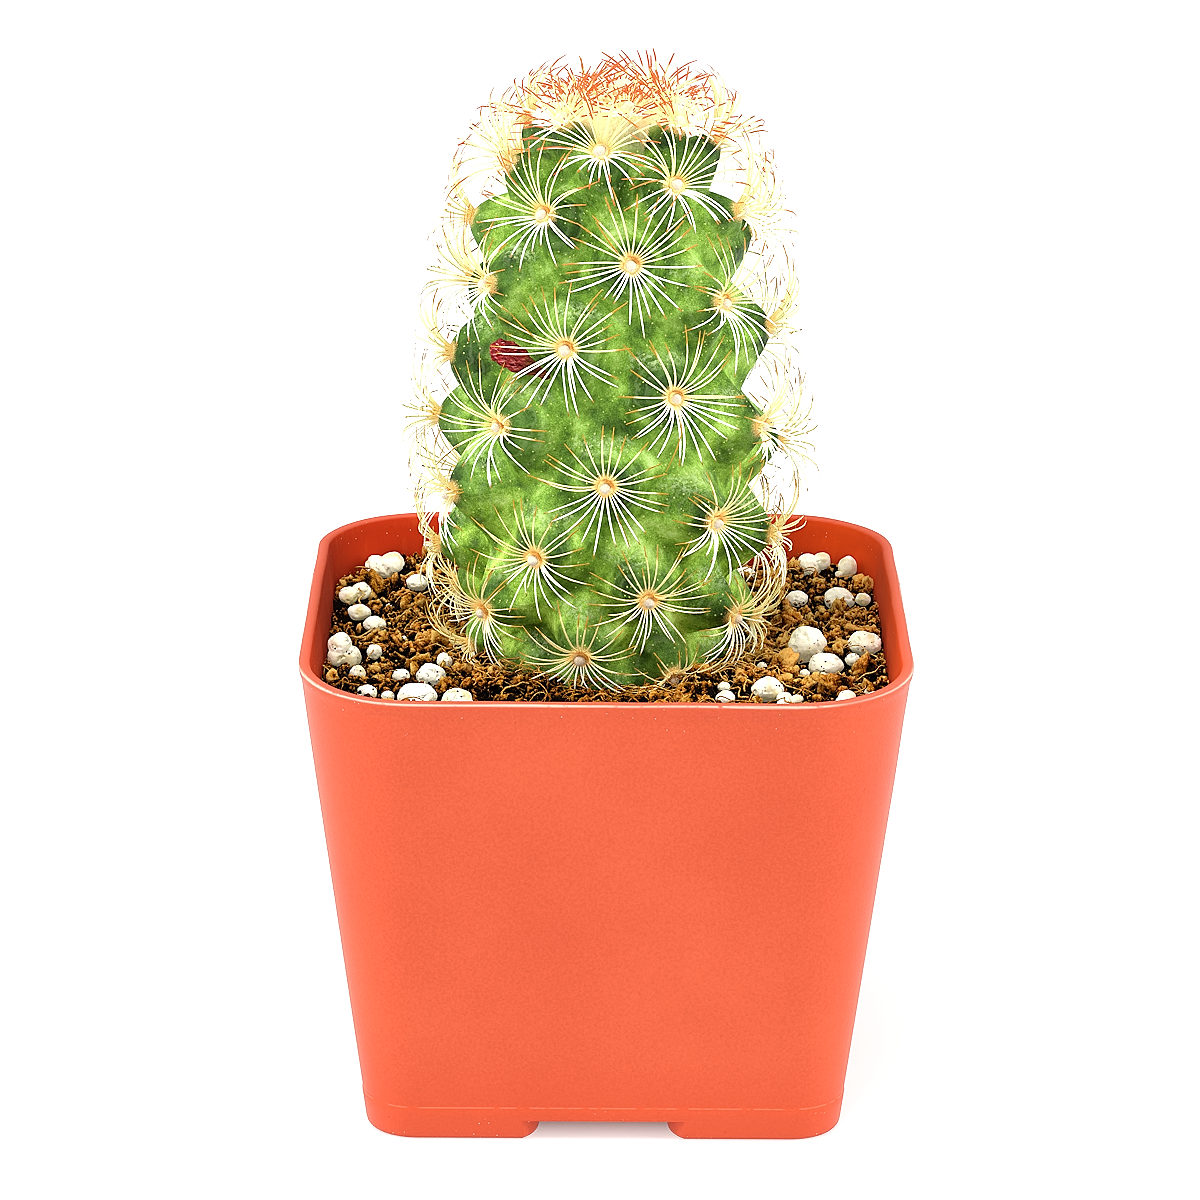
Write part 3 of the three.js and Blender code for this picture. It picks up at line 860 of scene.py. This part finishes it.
def stemPoint(angle, along, depth):
    radius, z = (np.interp(along, stemAlong, stemLine[:, i]) for i in (0, 1))
    runOut, runUp = (np.interp(along, stemAlong, stemRun[:, i]) for i in (0, 1))
    radius, z = radius + runUp * depth, z - runOut * depth
    x = stem["x"] + stem["lean"] * (z - stem["leanHeight"]) + radius * np.sin(angle)
    return np.stack([x, stem["y"] - radius * np.cos(angle), z], axis=-1)


# How far down the line of tips each areole has grown from the crown
def areoleDistance(index):
    first, step, growth, grownStep, slowing = stem["spacing"]
    young = np.minimum(index, stem["grownFrom"])
    grown = np.maximum(index - stem["grownFrom"], 0)
    old = np.maximum(index - stem["oldFrom"], 0)
    return first + step * young + growth * young**2 + grownStep * grown - slowing * old**2


# The areoles' places, and for each the ways out, sideways and up along the stem
areoleIndex = np.arange(stem["areoles"])
areoleAngle = np.radians(stem["start"] + stem["turn"] * areoleIndex)
areoleAlong = areoleDistance(areoleIndex)
areolePlace = stemPoint(areoleAngle, areoleAlong, 0)
areoleOut = areolePlace - stemPoint(areoleAngle, areoleAlong, 1)
areoleOut /= np.linalg.norm(areoleOut, axis=1, keepdims=True)
areoleSide = np.stack([-areoleOut[:, 1], areoleOut[:, 0], np.zeros(len(areoleOut))], axis=1)
areoleSide /= np.linalg.norm(areoleSide, axis=1, keepdims=True)
areoleUp = np.cross(areoleOut, areoleSide)


# For points on the line of tips: their areole, and 1 at it falling to 0 in the groove round its tubercle
def tubercleShare(points):
    far = ((points[:, None] - areolePlace[None]) ** 2).sum(axis=2)
    own = far.argmin(axis=1)
    apart = ((areolePlace[:, None] - areolePlace[None]) ** 2).sum(axis=2)
    np.fill_diagonal(apart, 1e-9)
    share = (far - far[np.arange(len(far)), own][:, None]) / apart[own]
    share[np.arange(len(far)), own] = 1
    return own, share.min(axis=1)


def makeStemSkin(paint):
    bm = bmesh.new()
    bmesh.ops.create_uvsphere(bm, u_segments=stem["columns"], v_segments=stem["rows"], radius=1)
    bmesh.ops.recalc_face_normals(bm, faces=bm.faces)
    mesh = meshFrom(bm)
    unit = pointsOf(mesh)
    angle = np.arctan2(unit[:, 0], -unit[:, 1])
    row = np.arccos(np.clip(unit[:, 2], -1, 1)) / math.pi * stem["rows"]
    shown = stem["rows"] - stem["buriedRows"]
    buried = (row - shown) / stem["buriedRows"]
    along = np.where(row <= shown, stemLength * row / shown, mix(stemLength, stemAlong[-1], buried))
    own, share = tubercleShare(stemPoint(angle, along, 0))
    depth = stem["tubercleHeight"] * smoothstep(along, 0, stem["crownFade"])
    depth *= 1 - smoothstep(along, stemLength - stem["soilFade"], stemLength)
    smooth, sharp = 0.5 - 0.5 * np.cos(math.pi * (1 - share)), (1 - share) ** 1.5
    points = stemPoint(angle, along, depth * mix(smooth, sharp, stem["crease"]))
    crinkle = np.array([noise.fractal(Vector(point) * 0.5, 1, 2, 4) for point in points])
    normal = stemPoint(angle, along, 0) - stemPoint(angle, along, 1)
    points += normal * (stem["crinkle"] * crinkle * smoothstep(share, 1, 0.8))[:, None]
    setPoints(mesh, points)
    away = points - areolePlace[own]
    lift = (away * areoleUp[own]).sum(axis=1)
    addAttribute(mesh, "share", share)
    addAttribute(mesh, "lift", lift)
    addAttribute(mesh, "far", np.linalg.norm(away, axis=1))
    addAttribute(mesh, "crown", smoothstep(own - 0.9 * lift, 10, 7))
    finishPiece("stem_skin", mesh, paint, ["cactus"])


def paintSkin():
    paint = Paint("green_skin", roughness=0.5, specular=0.25)
    place = paint.place()
    share, lift, far, crown = (paint.attribute(name) for name in ("share", "lift", "far", "crown"))
    blotches = paint.noise(place, 0.3, 3, 0.6)
    mottle = paint.noise(place, 3.4, 5, 0.75)
    speckle = paint.noise(place, 8, 2, 0.6)
    patches = paint.noise(place, 0.16, 2, 0.5)
    across = paint.axis(place, "X")
    shade = paint.band(far - paint.band(patches, 0.42, 0.62) * 2.2 + mottle * 1.6, 4.8, 1.7)
    inland = paint.band(share, 0.02, 0.2)
    # Painted highlight: pale arcs on the tubercles' upper shoulders, where the top light glints
    arc = paint.band(lift, 2.2, 3.1) * paint.band(lift, 4.4, 3.4) * inland
    shoulderHighlight = arc * paint.band(paint.noise(place, 2.2, 6, 0.8), 0.46, 0.6)
    ripples = (far * 6 + blotches * 22 + mottle * 3).math("SINE")
    rings = paint.band(ripples, 0.1, 1) * paint.band(far, 2, 3) * paint.band(far, 6, 4) * inland
    dots = paint.band(paint.cells(place, 1.55), 0.19, 0.1)
    downy = paint.ramp(mottle, *stem["down"])
    paint.colour(paint.coats(
        paint.ramp(blotches * 0.62 + mottle * 0.13 + speckle * 0.2 + 0.025, *stem["greens"]),
        (shade * 0.9, (0.20, 0.30, 0.25), "MULTIPLY"),  # painted shade round the areoles, where the spines shadow the skin
        (paint.band(paint.axis(place, "Z"), 62, 46), (1.5, 1.43, 1.3), "MULTIPLY"),  # painted light, lighter lower down against the shade there
        # painted light on the left side, and less on the right
        (paint.band(across, -5, -12), (1.34, 1.28, 1.18), "MULTIPLY"),
        (paint.band(across, 5, 12), (1.2, 1.16, 1.05), "MULTIPLY"),
        (paint.band(lift, 0.2, -2.8) * 0.2, (0.035, 0.110, 0.006)),  # painted shade under the tubercles
        (shoulderHighlight * 0.6, (0.60, 0.76, 0.38)),
        (rings * 0.1, (0.60, 0.78, 0.36)),
        (paint.band(far + speckle * 1.2, 2.0, 1.2), (0.95, 0.69, 0.28)),  # the areoles' golden edge
        (dots * 0.7, (0.66, 0.78, 0.20)),
        (crown, downy),
    ))
    # painted light: the crown's down glows
    paint.glow(paint.blend(crown, (0, 0, 0), downy), 0.3)
    paint.rough(mix(0.4, 0.6, mottle))
    paint.bump(mottle * 0.1 + blotches * 0.1 + dots * 0.03, 0.9)
    paint.soften(0.1, (0.5, 0.8, 0.2))
    return paint


# Spines
spine = {
    "seed": 11,
    "sides": 5,
    "steps": 8,
    "base": 0.62,
    "sink": 0.15,
    "lowest": 42,
    "soilClear": 0.3,
    # how many areoles the crown has
    "crown": 16,
    # pairs are the crown's value and the body's
    "count": (42, 26),
    "length": (2.8, 7.6),
    "oldLength": 0.84,
    "sway": (0.08, 0.6),
    # the radius of upper and lower ones, and of the long arches over them
    "radius": (0.086, 0.088),
    "archRadius": 0.075,
    "archLength": (6.5, 9.5),
    "archLean": (60, 80),
    # degrees off the areole's way out at the foot and the tip: the crown's, the body's and old ones'
    "footLean": (30, 62, 48),
    "footSpread": (12, 6),
    "crownCurl": 4,
    "tipLean": (-8, -26),
    "tipSpread": 8,
    # how far the tips' veil stands off the stem, and between which areoles it changes
    "crownVeil": 1.35,
    "veils": [(4, 4, 15), (2.9, 17, 32), (2.2, 43, 54)],
    "veilSpread": 0.45,
    "combSoftness": 0.8,
    "shades": [(0, (0.97, 0.96, 0.88)), (0.5, (0.81, 0.72, 0.35)), (1, (0.68, 0.50, 0.16))],
    # tips of old and of young ones
    "tips": {
        "crown_spine": ((0.50, 0.18, 0.012), (0.72, 0.125, 0.03)),
        "body_spine": ((0.42, 0.21, 0.01), (0.60, 0.18, 0.025)),
    },
}


# The settings of every spine, one row each
def drawSpines():
    draw = np.random.default_rng(spine["seed"])
    crownLean, bodyLean, oldLean = spine["footLean"]
    rows = []
    for index in areoleIndex[areolePlace[:, 2] >= spine["lowest"]]:
        grown = float(smoothstep(index, 3, 19))
        old = float(smoothstep(index, 38, 56))
        long = mix(*spine["length"], float(smoothstep(index, 0, 14))) * mix(1, spine["oldLength"], old)
        count = mix(*spine["count"], float(smoothstep(index, 8, 14)))
        count = round(count * mix(0.45, 1, float(smoothstep(index, 0, 8)))) + draw.integers(-2, 3)
        first = draw.uniform(0, 6.3)
        for i in range(count):
            angle = first + (i + draw.uniform(-0.22, 0.22)) * 2 * math.pi / count
            low = float(smoothstep(math.sin(angle), 0.1, -0.6))
            length = long * mix(1.0, 0.86, low) * draw.uniform(0.84, 1.08)
            if draw.random() < mix(0.04, 0.22, low):
                length *= draw.uniform(0.45, 0.75)
            start = mix(mix(crownLean, bodyLean, grown), oldLean, old)
            start += draw.normal(0, mix(*spine["footSpread"], grown))
            end = mix(start - spine["crownCurl"], mix(*spine["tipLean"], old), grown)
            end += draw.normal(0, spine["tipSpread"])
            radius = mix(*spine["radius"], low) * draw.uniform(0.9, 1.1)
            radius *= mix(1.35, 1, grown) * mix(1, 0.92, old)
            tip = mix(0.8, 0.95, low) + draw.normal(0, 0.03)
            tip = mix(0.57 + draw.normal(0, 0.14), tip, grown)
            yellow = mix(0.95, 0.05, low) * mix(1.1, 1, grown) + 0.45 * old
            yellow += draw.normal(0, mix(0.35, 0.12, grown))
            sway = draw.normal(0, mix(*spine["sway"], grown))
            rows.append((index, angle, length, start, end, radius, tip, yellow, sway))
        arches = int(draw.random() < mix(3, 0.7, grown)) + (2 if 2 < index < spine["crown"] else 0)
        for _ in range(arches):
            angle = draw.uniform(0, 6.3)
            length = draw.uniform(*spine["archLength"]) * mix(0.9, 1, grown)
            start = draw.uniform(*spine["archLean"])
            end = start - mix(25, 65, float(smoothstep(index, 5, 10)))
            tip = mix(0.3, draw.uniform(0.35, 0.6), grown)
            sway = draw.normal(0, mix(0.4, 1.5, grown))
            rows.append((index, angle, length, start, end, spine["archRadius"], tip, 1.2, sway))
    return np.array(rows)


# How far points stand off the line through the tubercle tips, and the way out there
def standOff(points):
    lean = stem["x"] + stem["lean"] * (points[:, 2] - stem["leanHeight"])
    x, y = points[:, 0] - lean, points[:, 1] - stem["y"]
    line = stemLine[:tipSteps:8]
    across, height = np.hypot(x, y), points[:, 2]
    nearest = np.array([((line - place) ** 2).sum(axis=1).argmin() for place in zip(across, height)])
    run = np.gradient(line, axis=0)
    run /= np.linalg.norm(run, axis=1, keepdims=True)
    outward = np.stack([-run[:, 1], run[:, 0]], axis=1)[nearest]
    off = ((np.stack([across, height], axis=1) - line[nearest]) * outward).sum(axis=1)
    unit = np.stack([x, y], axis=1) / np.maximum(across, 1e-6)[:, None]
    return off, np.column_stack([unit * outward[:, :1], outward[:, 1]])


# How high a point of soil or perlite stands under a place
def groundUnder(x, y):
    height = soilHeight(x, y)
    for middle, wide, top in grainDiscs():
        over = np.hypot(x - middle[0], y - middle[1]) < wide + 0.3
        height = np.where(over, np.maximum(height, top), height)
    return height


# The points of the spines: each is an arc in the plane of its way out and its way round the areole
def spinePoints(rows, unit, shorter):
    index = rows[:, 0].astype(int)
    angle, length, start, end, width, _, _, sway = (rows[:, i, None] for i in range(1, 9))
    length = length * shorter
    grown = smoothstep(index, 6, 16)[:, None]
    share = unit[None, :, 2] * np.ones((len(rows), 1))
    start, end = np.radians(start), np.radians(end)
    rise = start + (end - start) * share
    reach = spine["base"] + length * (np.sin(rise) - np.sin(start)) / (end - start)
    height = -spine["sink"] + length * (np.cos(start) - np.cos(rise)) / (end - start)
    side, up, out = (way[index][:, None] for way in (areoleSide, areoleUp, areoleOut))
    radial = side * np.cos(angle)[..., None] + up * np.sin(angle)[..., None]
    across = up * np.cos(angle)[..., None] - side * np.sin(angle)[..., None]
    bulb = 1 + 0.25 * np.exp(-((share / 0.1) ** 2))
    taper = 1 - mix(0.62 * share**1.6, 0.45 * share**10, grown)
    radius = width * bulb * taper
    over = out * np.cos(rise)[..., None] - radial * np.sin(rise)[..., None]
    points = areolePlace[index][:, None] + radial * reach[..., None] + out * height[..., None]
    points = points + across * (sway * share**2 + radius * unit[None, :, 0])[..., None]
    return points + over * (radius * unit[None, :, 1])[..., None]


# Bends spines over where they would reach out of the veil that their tips form
def combSpines(points, limit):
    flat = points.reshape(-1, 3)
    off, outward = standOff(flat)
    soft = spine["combSoftness"]
    excess = np.maximum(off - np.repeat(limit, points.shape[1]) + soft, 0)
    return (flat - outward * (excess - soft * np.tanh(excess / soft))[:, None]).reshape(points.shape)


def makeSpines(name, paint, rows):
    draw = np.random.default_rng(spine["seed"] + len(rows))
    template = strandTemplate(spine["sides"], spine["steps"])
    unit = pointsOf(template)
    mesh = repeatMesh(template, len(rows))
    index = rows[:, 0].astype(int)
    points = spinePoints(rows, unit, 1)
    ground = groundUnder(points[..., 0], points[..., 1]) + spine["soilClear"]
    room = areolePlace[index, 2] - ground.mean(axis=1)
    drop = areolePlace[index, 2] - (points[..., 2] - ground + ground.mean(axis=1)[:, None]).min(axis=1)
    shorter = np.clip(room / np.maximum(drop, 0.1), 0.48, 1)
    limit = spine["crownVeil"]
    for veil, first, last in spine["veils"]:
        limit = mix(limit, veil, smoothstep(index, first, last))
    limit += draw.normal(0, spine["veilSpread"], len(rows))
    highest = standOff(points.reshape(-1, 3))[0].reshape(len(rows), -1).max(axis=1)
    shorter *= mix(np.clip(limit / highest, 0.25, 1), 1, smoothstep(index, 10, 16))
    points = combSpines(spinePoints(rows, unit, shorter[:, None]), limit + 1.2 * (index < 13))
    ground = groundUnder(points[..., 0], points[..., 1]) + spine["soilClear"]
    points[..., 2] = np.where(points[..., 2] < ground, mix(ground, points[..., 2], 0.3), points[..., 2])
    setPoints(mesh, points.reshape(-1, 3))
    addAttribute(mesh, "along", np.tile(unit[:, 2], len(rows)))
    addAttribute(mesh, "tip", np.repeat(rows[:, 6], len(unit)))
    addAttribute(mesh, "yellow", np.repeat(rows[:, 7], len(unit)))
    addAttribute(mesh, "young", np.repeat(smoothstep(index, 38, 18), len(unit)))
    finishPiece(name, mesh, paint)


def paintSpines(name):
    oldTip, youngTip = spine["tips"][name]
    paint = Paint(name, roughness=0.4, specular=0.3)
    along, tip, yellow, young = (paint.attribute(a) for a in ("along", "tip", "yellow", "young"))
    streak = paint.noise(paint.place(), 3.0, 2, 0.5)
    body = paint.coats(
        paint.ramp((yellow + along * 0.2) * 0.5, *spine["shades"]),
        (paint.band(along, 0.24, 0.07) * 0.7, (0.84, 0.54, 0.15)),  # the foot
        (paint.band(along - tip + (streak - 0.5) * 0.1, -0.05, 0.05), paint.blend(young, oldTip, youngTip)),
    )
    paint.colour(body)
    # painted light: the spines glow, as if lit through from behind
    paint.glow(body, 0.36)
    paint.rough(mix(0.3, 0.5, streak))
    paint.bump(streak * 0.02, 0.5)
    return paint


# Areoles: a dome of white wool in a ring of felt, golden above and brown below
areole = {
    "seed": 21,
    "ring": 0.58,
    "ringThick": 0.16,
    "ringHeight": 0.3,
    "ringDent": 0.13,
    "dome": 0.49,
    "domeShift": (-0.06, -0.1, 0),
    "domeHeight": 0.4,
    "domeDent": 0.2,
    "crownSize": 1.7,
}


def makeAreoleRings(paint, shown):
    bm = bmesh.new()
    turn = Matrix.Rotation(math.pi / 2, 4, "X")
    bmesh.ops.create_circle(bm, segments=8, radius=areole["ringThick"], matrix=turn)
    bmesh.ops.translate(bm, verts=bm.verts, vec=(areole["ring"], 0, 0))
    full = {"cent": (0, 0, 0), "axis": (0, 0, 1), "angle": 2 * math.pi, "steps": 24, "use_merge": True}
    bmesh.ops.spin(bm, geom=bm.verts[:] + bm.edges[:], **full)
    bmesh.ops.recalc_face_normals(bm, faces=bm.faces)
    placeCopies("areole_rings", meshFrom(bm), paint, shown, areole["ringHeight"], areole["ringDent"])


def makeWoolDomes(paint, shown):
    bm = bmesh.new()
    bmesh.ops.create_icosphere(bm, subdivisions=3, radius=areole["dome"])
    bmesh.ops.translate(bm, verts=bm.verts, vec=areole["domeShift"])
    placeCopies("wool_domes", meshFrom(bm), paint, shown, areole["domeHeight"], areole["domeDent"])


# Copies of a small shape on the areoles, each dented and sized in its own way
def placeCopies(name, template, paint, shown, height, dent):
    unit = pointsOf(template)
    mesh = repeatMesh(template, len(shown))
    draw = np.random.default_rng(areole["seed"])
    size = draw.uniform(0.88, 1.12, (len(shown), 1, 1))
    size = size * mix(areole["crownSize"], 1, smoothstep(shown, 4, 15))[:, None, None]
    waves = draw.normal(0, 4, (len(shown), 3, 3))
    phases = draw.uniform(0, 6.3, (len(shown), 3, 1))
    lumps = 1 + dent / 3 * np.sin(np.einsum("nkc,vc->nkv", waves, unit) + phases).sum(axis=1)
    local = unit[None] * size * lumps[..., None]
    ways = (areoleSide[shown], areoleUp[shown], areoleOut[shown])
    points = sum(local[..., i, None] * way[:, None] for i, way in enumerate(ways))
    points = points + (areolePlace[shown] + areoleOut[shown] * height)[:, None]
    setPoints(mesh, points.reshape(-1, 3))
    addAttribute(mesh, "rise", np.tile(unit[:, :2] @ (0.6, 0.8) / areole["ring"], len(shown)))
    addAttribute(mesh, "age", np.repeat(shown / stem["areoles"], len(unit)))
    finishPiece(name, mesh, paint)


def paintFelt():
    paint = Paint("brown_felt", roughness=0.8, specular=0.2)
    rise, age = paint.attribute("rise"), paint.attribute("age")
    fuzz = paint.noise(paint.place(), 7, 3, 0.6)
    felt = paint.coats(
        (0.96, 0.68, 0.27),
        (paint.band(rise + fuzz - 0.5, 0.3, 0.95), (0.58, 0.25, 0.04)),
        (paint.band(age, 0.3, 0.12) * 0.8, (0.80, 0.62, 0.30)),  # young
        (paint.band(age, 0.78, 0.92), (0.26, 0.09, 0.015)),  # old
        (paint.band(fuzz, 0.55, 0.35) * 0.3, (0.86, 0.50, 0.15)),
    )
    paint.colour(felt)
    # painted light: the felt glows
    paint.glow(felt, 0.25)
    paint.bump(fuzz * 0.12)
    return paint


def paintWool():
    paint = Paint("white_wool", roughness=0.9, specular=0.1)
    fuzz = paint.noise(paint.place(), 9, 4, 0.7)
    age = paint.attribute("age")
    white = paint.coats(
        (0.66, 0.58, 0.44),
        (fuzz, (0.88, 0.83, 0.72)),
        (paint.band(age, 0.2, 0.08) * 0.6, (1, 0.86, 0.50)),  # young
        (paint.band(age, 0.6, 0.97) * 0.6, (0.85, 0.62, 0.36)),  # old
    )
    paint.colour(white)
    # painted light: the wool glows
    paint.glow(white, 0.15)
    paint.bump(fuzz * 0.15)
    return paint


soilPaint = paintSoil()
makeSoilBed(soilPaint)
for more, lumpName in enumerate(soil["lumps"]):
    makeLumps(lumpName, soilPaint, soil["seed"] + more)
makeFibres(soilPaint)
print("soil is laid")

makeStemSkin(paintSkin())
spineRows = drawSpines()
inCrown = spineRows[:, 0] < spine["crown"]
makeSpines("crown_spines", paintSpines("crown_spine"), spineRows[inCrown])
makeSpines("body_spines", paintSpines("body_spine"), spineRows[~inCrown])
shownAreoles = np.unique(spineRows[:, 0].astype(int))
makeAreoleRings(paintFelt(), shownAreoles)
makeWoolDomes(paintWool(), shownAreoles)
print("cactus is grown")

# The dried flower: one withered tube, red at its tip and brown at its base
flower = {
    "tip": (-10.9, -9.2, 74.4),
    "base": (-5.3, -10.3, 71.6),
    "half": 1.02,
    # the palest red is a painted highlight on the streaks
    "reds": [
        (0.34, (0.035, 0.001, 0.002)), (0.46, (0.27, 0.008, 0.012)),
        (0.56, (0.66, 0.025, 0.035)), (0.64, (1.0, 0.42, 0.40)),
    ],
    "browns": [(0.36, (0.02, 0.006, 0.001)), (0.5, (0.19, 0.032, 0.004)), (0.64, (0.46, 0.15, 0.02))],
}


def makeFlower():
    tip, base = Vector(flower["tip"]), Vector(flower["base"])
    run = (base - tip).normalized()
    across = Vector((0, 0, 1)).cross(run).normalized()
    over = run.cross(across)
    bm = bmesh.new()
    bmesh.ops.create_uvsphere(bm, u_segments=80, v_segments=72, radius=1)
    shareOf = bm.verts.layers.float.new("share")
    for vert in bm.verts:
        unit = vert.co.copy()
        share = 0.5 - 0.5 * unit.z
        angle = math.atan2(unit.y, unit.x)
        girth = math.sqrt(max(1 - unit.z**2, 0))
        body = (0.38 + 0.62 * math.sin(math.pi * min(share * 1.2, 1) ** 0.72)) * min(girth * 1.8, 1)
        folds = 0.14 * math.sin(6 * angle + 6 * share + 2 * math.sin(3 * angle))
        folds += 0.09 * math.sin(13 * angle - 11 * share)
        crumple = 0.5 * noise.noise(unit * 2.6) + 0.22 * noise.noise(unit * 6)
        radius = flower["half"] * body * (1 + folds + crumple)
        centre = tip.lerp(base, share)
        vert.co = centre + across * (radius * math.cos(angle)) + over * (radius * math.sin(angle))
        vert[shareOf] = share
    bmesh.ops.recalc_face_normals(bm, faces=bm.faces)
    finishPiece("withered_flower", meshFrom(bm), paintFlower(), ["dried_flower"])


def paintFlower():
    paint = Paint("withered_petal", roughness=0.55, specular=0.35)
    streaks = paint.noise(paint.place((0.35, 1.2, 1.5), (0, 0.5, 0.1)), 3.2, 4, 0.7, 0.5)
    inner = paint.band(paint.attribute("share") + (streaks - 0.5) * 0.5, 0.48, 0.66)
    red, brown = (paint.ramp(streaks, *flower[name]) for name in ("reds", "browns"))
    paint.colour(paint.blend(inner, red, brown))
    paint.bump(streaks * 0.4)
    return paint


makeFlower()

# Perlite
perlite = {
    # extra lobes: node, direction, size as shares of the grain
    "lobes": {
        "perlite_01": [(0.5, -0.1, 0.2, 0.85), (-0.5, 0, -0.1, 0.85), (0, -0.2, -0.2, 0.7)],
        "perlite_03": [(0.5, 0, 0.1, 0.8), (-0.45, -0.2, -0.25, 0.8)],
        "perlite_06": [(-0.3, 0.1, 0.4, 0.85), (0.38, -0.1, -0.3, 0.8), (-0.4, -0.1, -0.25, 0.8)],
        "perlite_16": [(0.6, 0, 0.3, 0.65), (-0.3, 0, -0.1, 0.9)],
    },
    # tiny grains where they lie on the soil: x, y, width
    "tiny": [
        (-21.4, -9, 0.9), (23.5, 21.4, 0.8), (23.2, 12.5, 1), (14.9, -6.4, 1), (18.9, -7.9, 1),
        (20.6, -8.3, 0.7), (16.7, -15.3, 1.5), (17.8, -16.9, 1.2), (22.5, -16.8, 1.7), (25, -12.6, 1.4),
        (11.1, -13.1, 1.2), (-19.5, 0.7, 0.6), (-21.4, 12.6, 0.6), (-22.8, -13.6, 1), (-16.5, -12.5, 0.7),
    ],
    "pitDepth": 0.22,
    "largeFrom": 2.4,
}


# A dented ball of perlite inside a box, with lobes pulled out of it
def grainShape(low, high, seed, lobes, fineness):
    bm = bmesh.new()
    bmesh.ops.create_icosphere(bm, subdivisions=fineness, radius=1)
    middle, half = (low + high) / 2, (high - low) / 2
    shift = Vector((seed * 3.7, seed * 1.3, seed * 7.1))
    for vert in bm.verts:
        unit = vert.co.normalized()
        radius = 1.0
        if lobes:
            radius = max(lobeReach(unit, Vector(lobe[:3]), lobe[3]) for lobe in lobes)
        radius *= 1 + 0.13 * noise.noise(unit * 1.5 + shift) + 0.03 * noise.noise(unit * 4.5 + shift)
        pit = noise.noise(unit * 3.1 + shift * 2)
        radius -= perlite["pitDepth"] * float(smoothstep(pit, 0.32, 0.55))
        vert.co = unit * radius
    low, high = (Vector(pick(vert.co[i] for vert in bm.verts) for i in range(3)) for pick in (min, max))
    for vert in bm.verts:
        share = [(vert.co[i] - low[i]) / (high[i] - low[i]) for i in range(3)]
        vert.co = [middle[i] + half[i] * (2 * share[i] - 1) for i in range(3)]
    return meshFrom(bm)


# How far a ball round a lobe's centre reaches along a way from the grain's middle
def lobeReach(way, centre, size):
    ahead = way.dot(centre)
    inside = ahead**2 - centre.length_squared + size**2
    return max(ahead + math.sqrt(inside), 0.45) if inside > 0 else 0.45


def paintPerlite():
    paint = Paint("perlite_foam", roughness=0.85, specular=0.2)
    place = paint.place()
    fine = paint.noise(place, 3.5, 4, 0.65)
    broad = paint.noise(place, 0.45, 3, 0.55)
    patchy = paint.noise(place, 0.8, 2, 0.5)
    holes = paint.band(paint.cells(place, 1.5), 0.2, 0.1) * paint.band(patchy, 0.42, 0.52)
    cracks = paint.band(paint.cells(place, 0.55, "DISTANCE_TO_EDGE"), 0.035, 0.012)
    cracks = cracks * paint.band(patchy, 0.54, 0.62)
    marks = (holes + cracks * 0.35).clip() * paint.band(paint.axis(place, "Y"), 8, -6)
    white = paint.coats(
        (0.90, 0.86, 0.68),
        (fine, (1.0, 0.98, 0.86)),
        (paint.band(paint.attribute("level") + broad, 1.0, -0.3) * 0.75, (0.64, 0.53, 0.22)),  # painted shade low down on each grain
        (paint.band(broad, 0.5, 0.68) * 0.75, (0.66, 0.52, 0.19)),  # stains
        (marks * 0.9, (0.10, 0.06, 0.02)),
    )
    paint.colour(white)
    paint.bump(fine * 0.08 - marks * 0.25)
    # painted light: the grains glow
    paint.glow(white, 0.18)
    return paint


def makePerlite():
    paint = paintPerlite()
    for i, (name, (low, high)) in enumerate(sorted(grainBoxes.items())):
        isLarge = (high - low)[0] > perlite["largeFrom"]
        mesh = grainShape(low, high, i + 1, perlite["lobes"].get(name, []), 5 if isLarge else 4)
        # each point's height within its grain, for the painted shade low down
        addAttribute(mesh, "level", (pointsOf(mesh)[:, 2] * 2 - low[2] - high[2]) / (high[2] - low[2]))
        finishPiece(name.replace("perlite", "grain"), mesh, paint, [name])
    parts = bmesh.new()
    for i, (x, y, width) in enumerate(perlite["tiny"]):
        middle = np.array([x, y, soilHeight(x, y) + 0.35 * width])
        half = np.array([width, width * 0.85, width * 0.8]) / 2
        parts.from_mesh(grainShape(middle - half, middle + half, 50 + i, [], 3))
    finishPiece("tiny_grains", meshFrom(parts), paint)


makePerlite()
print("perlite is scattered")
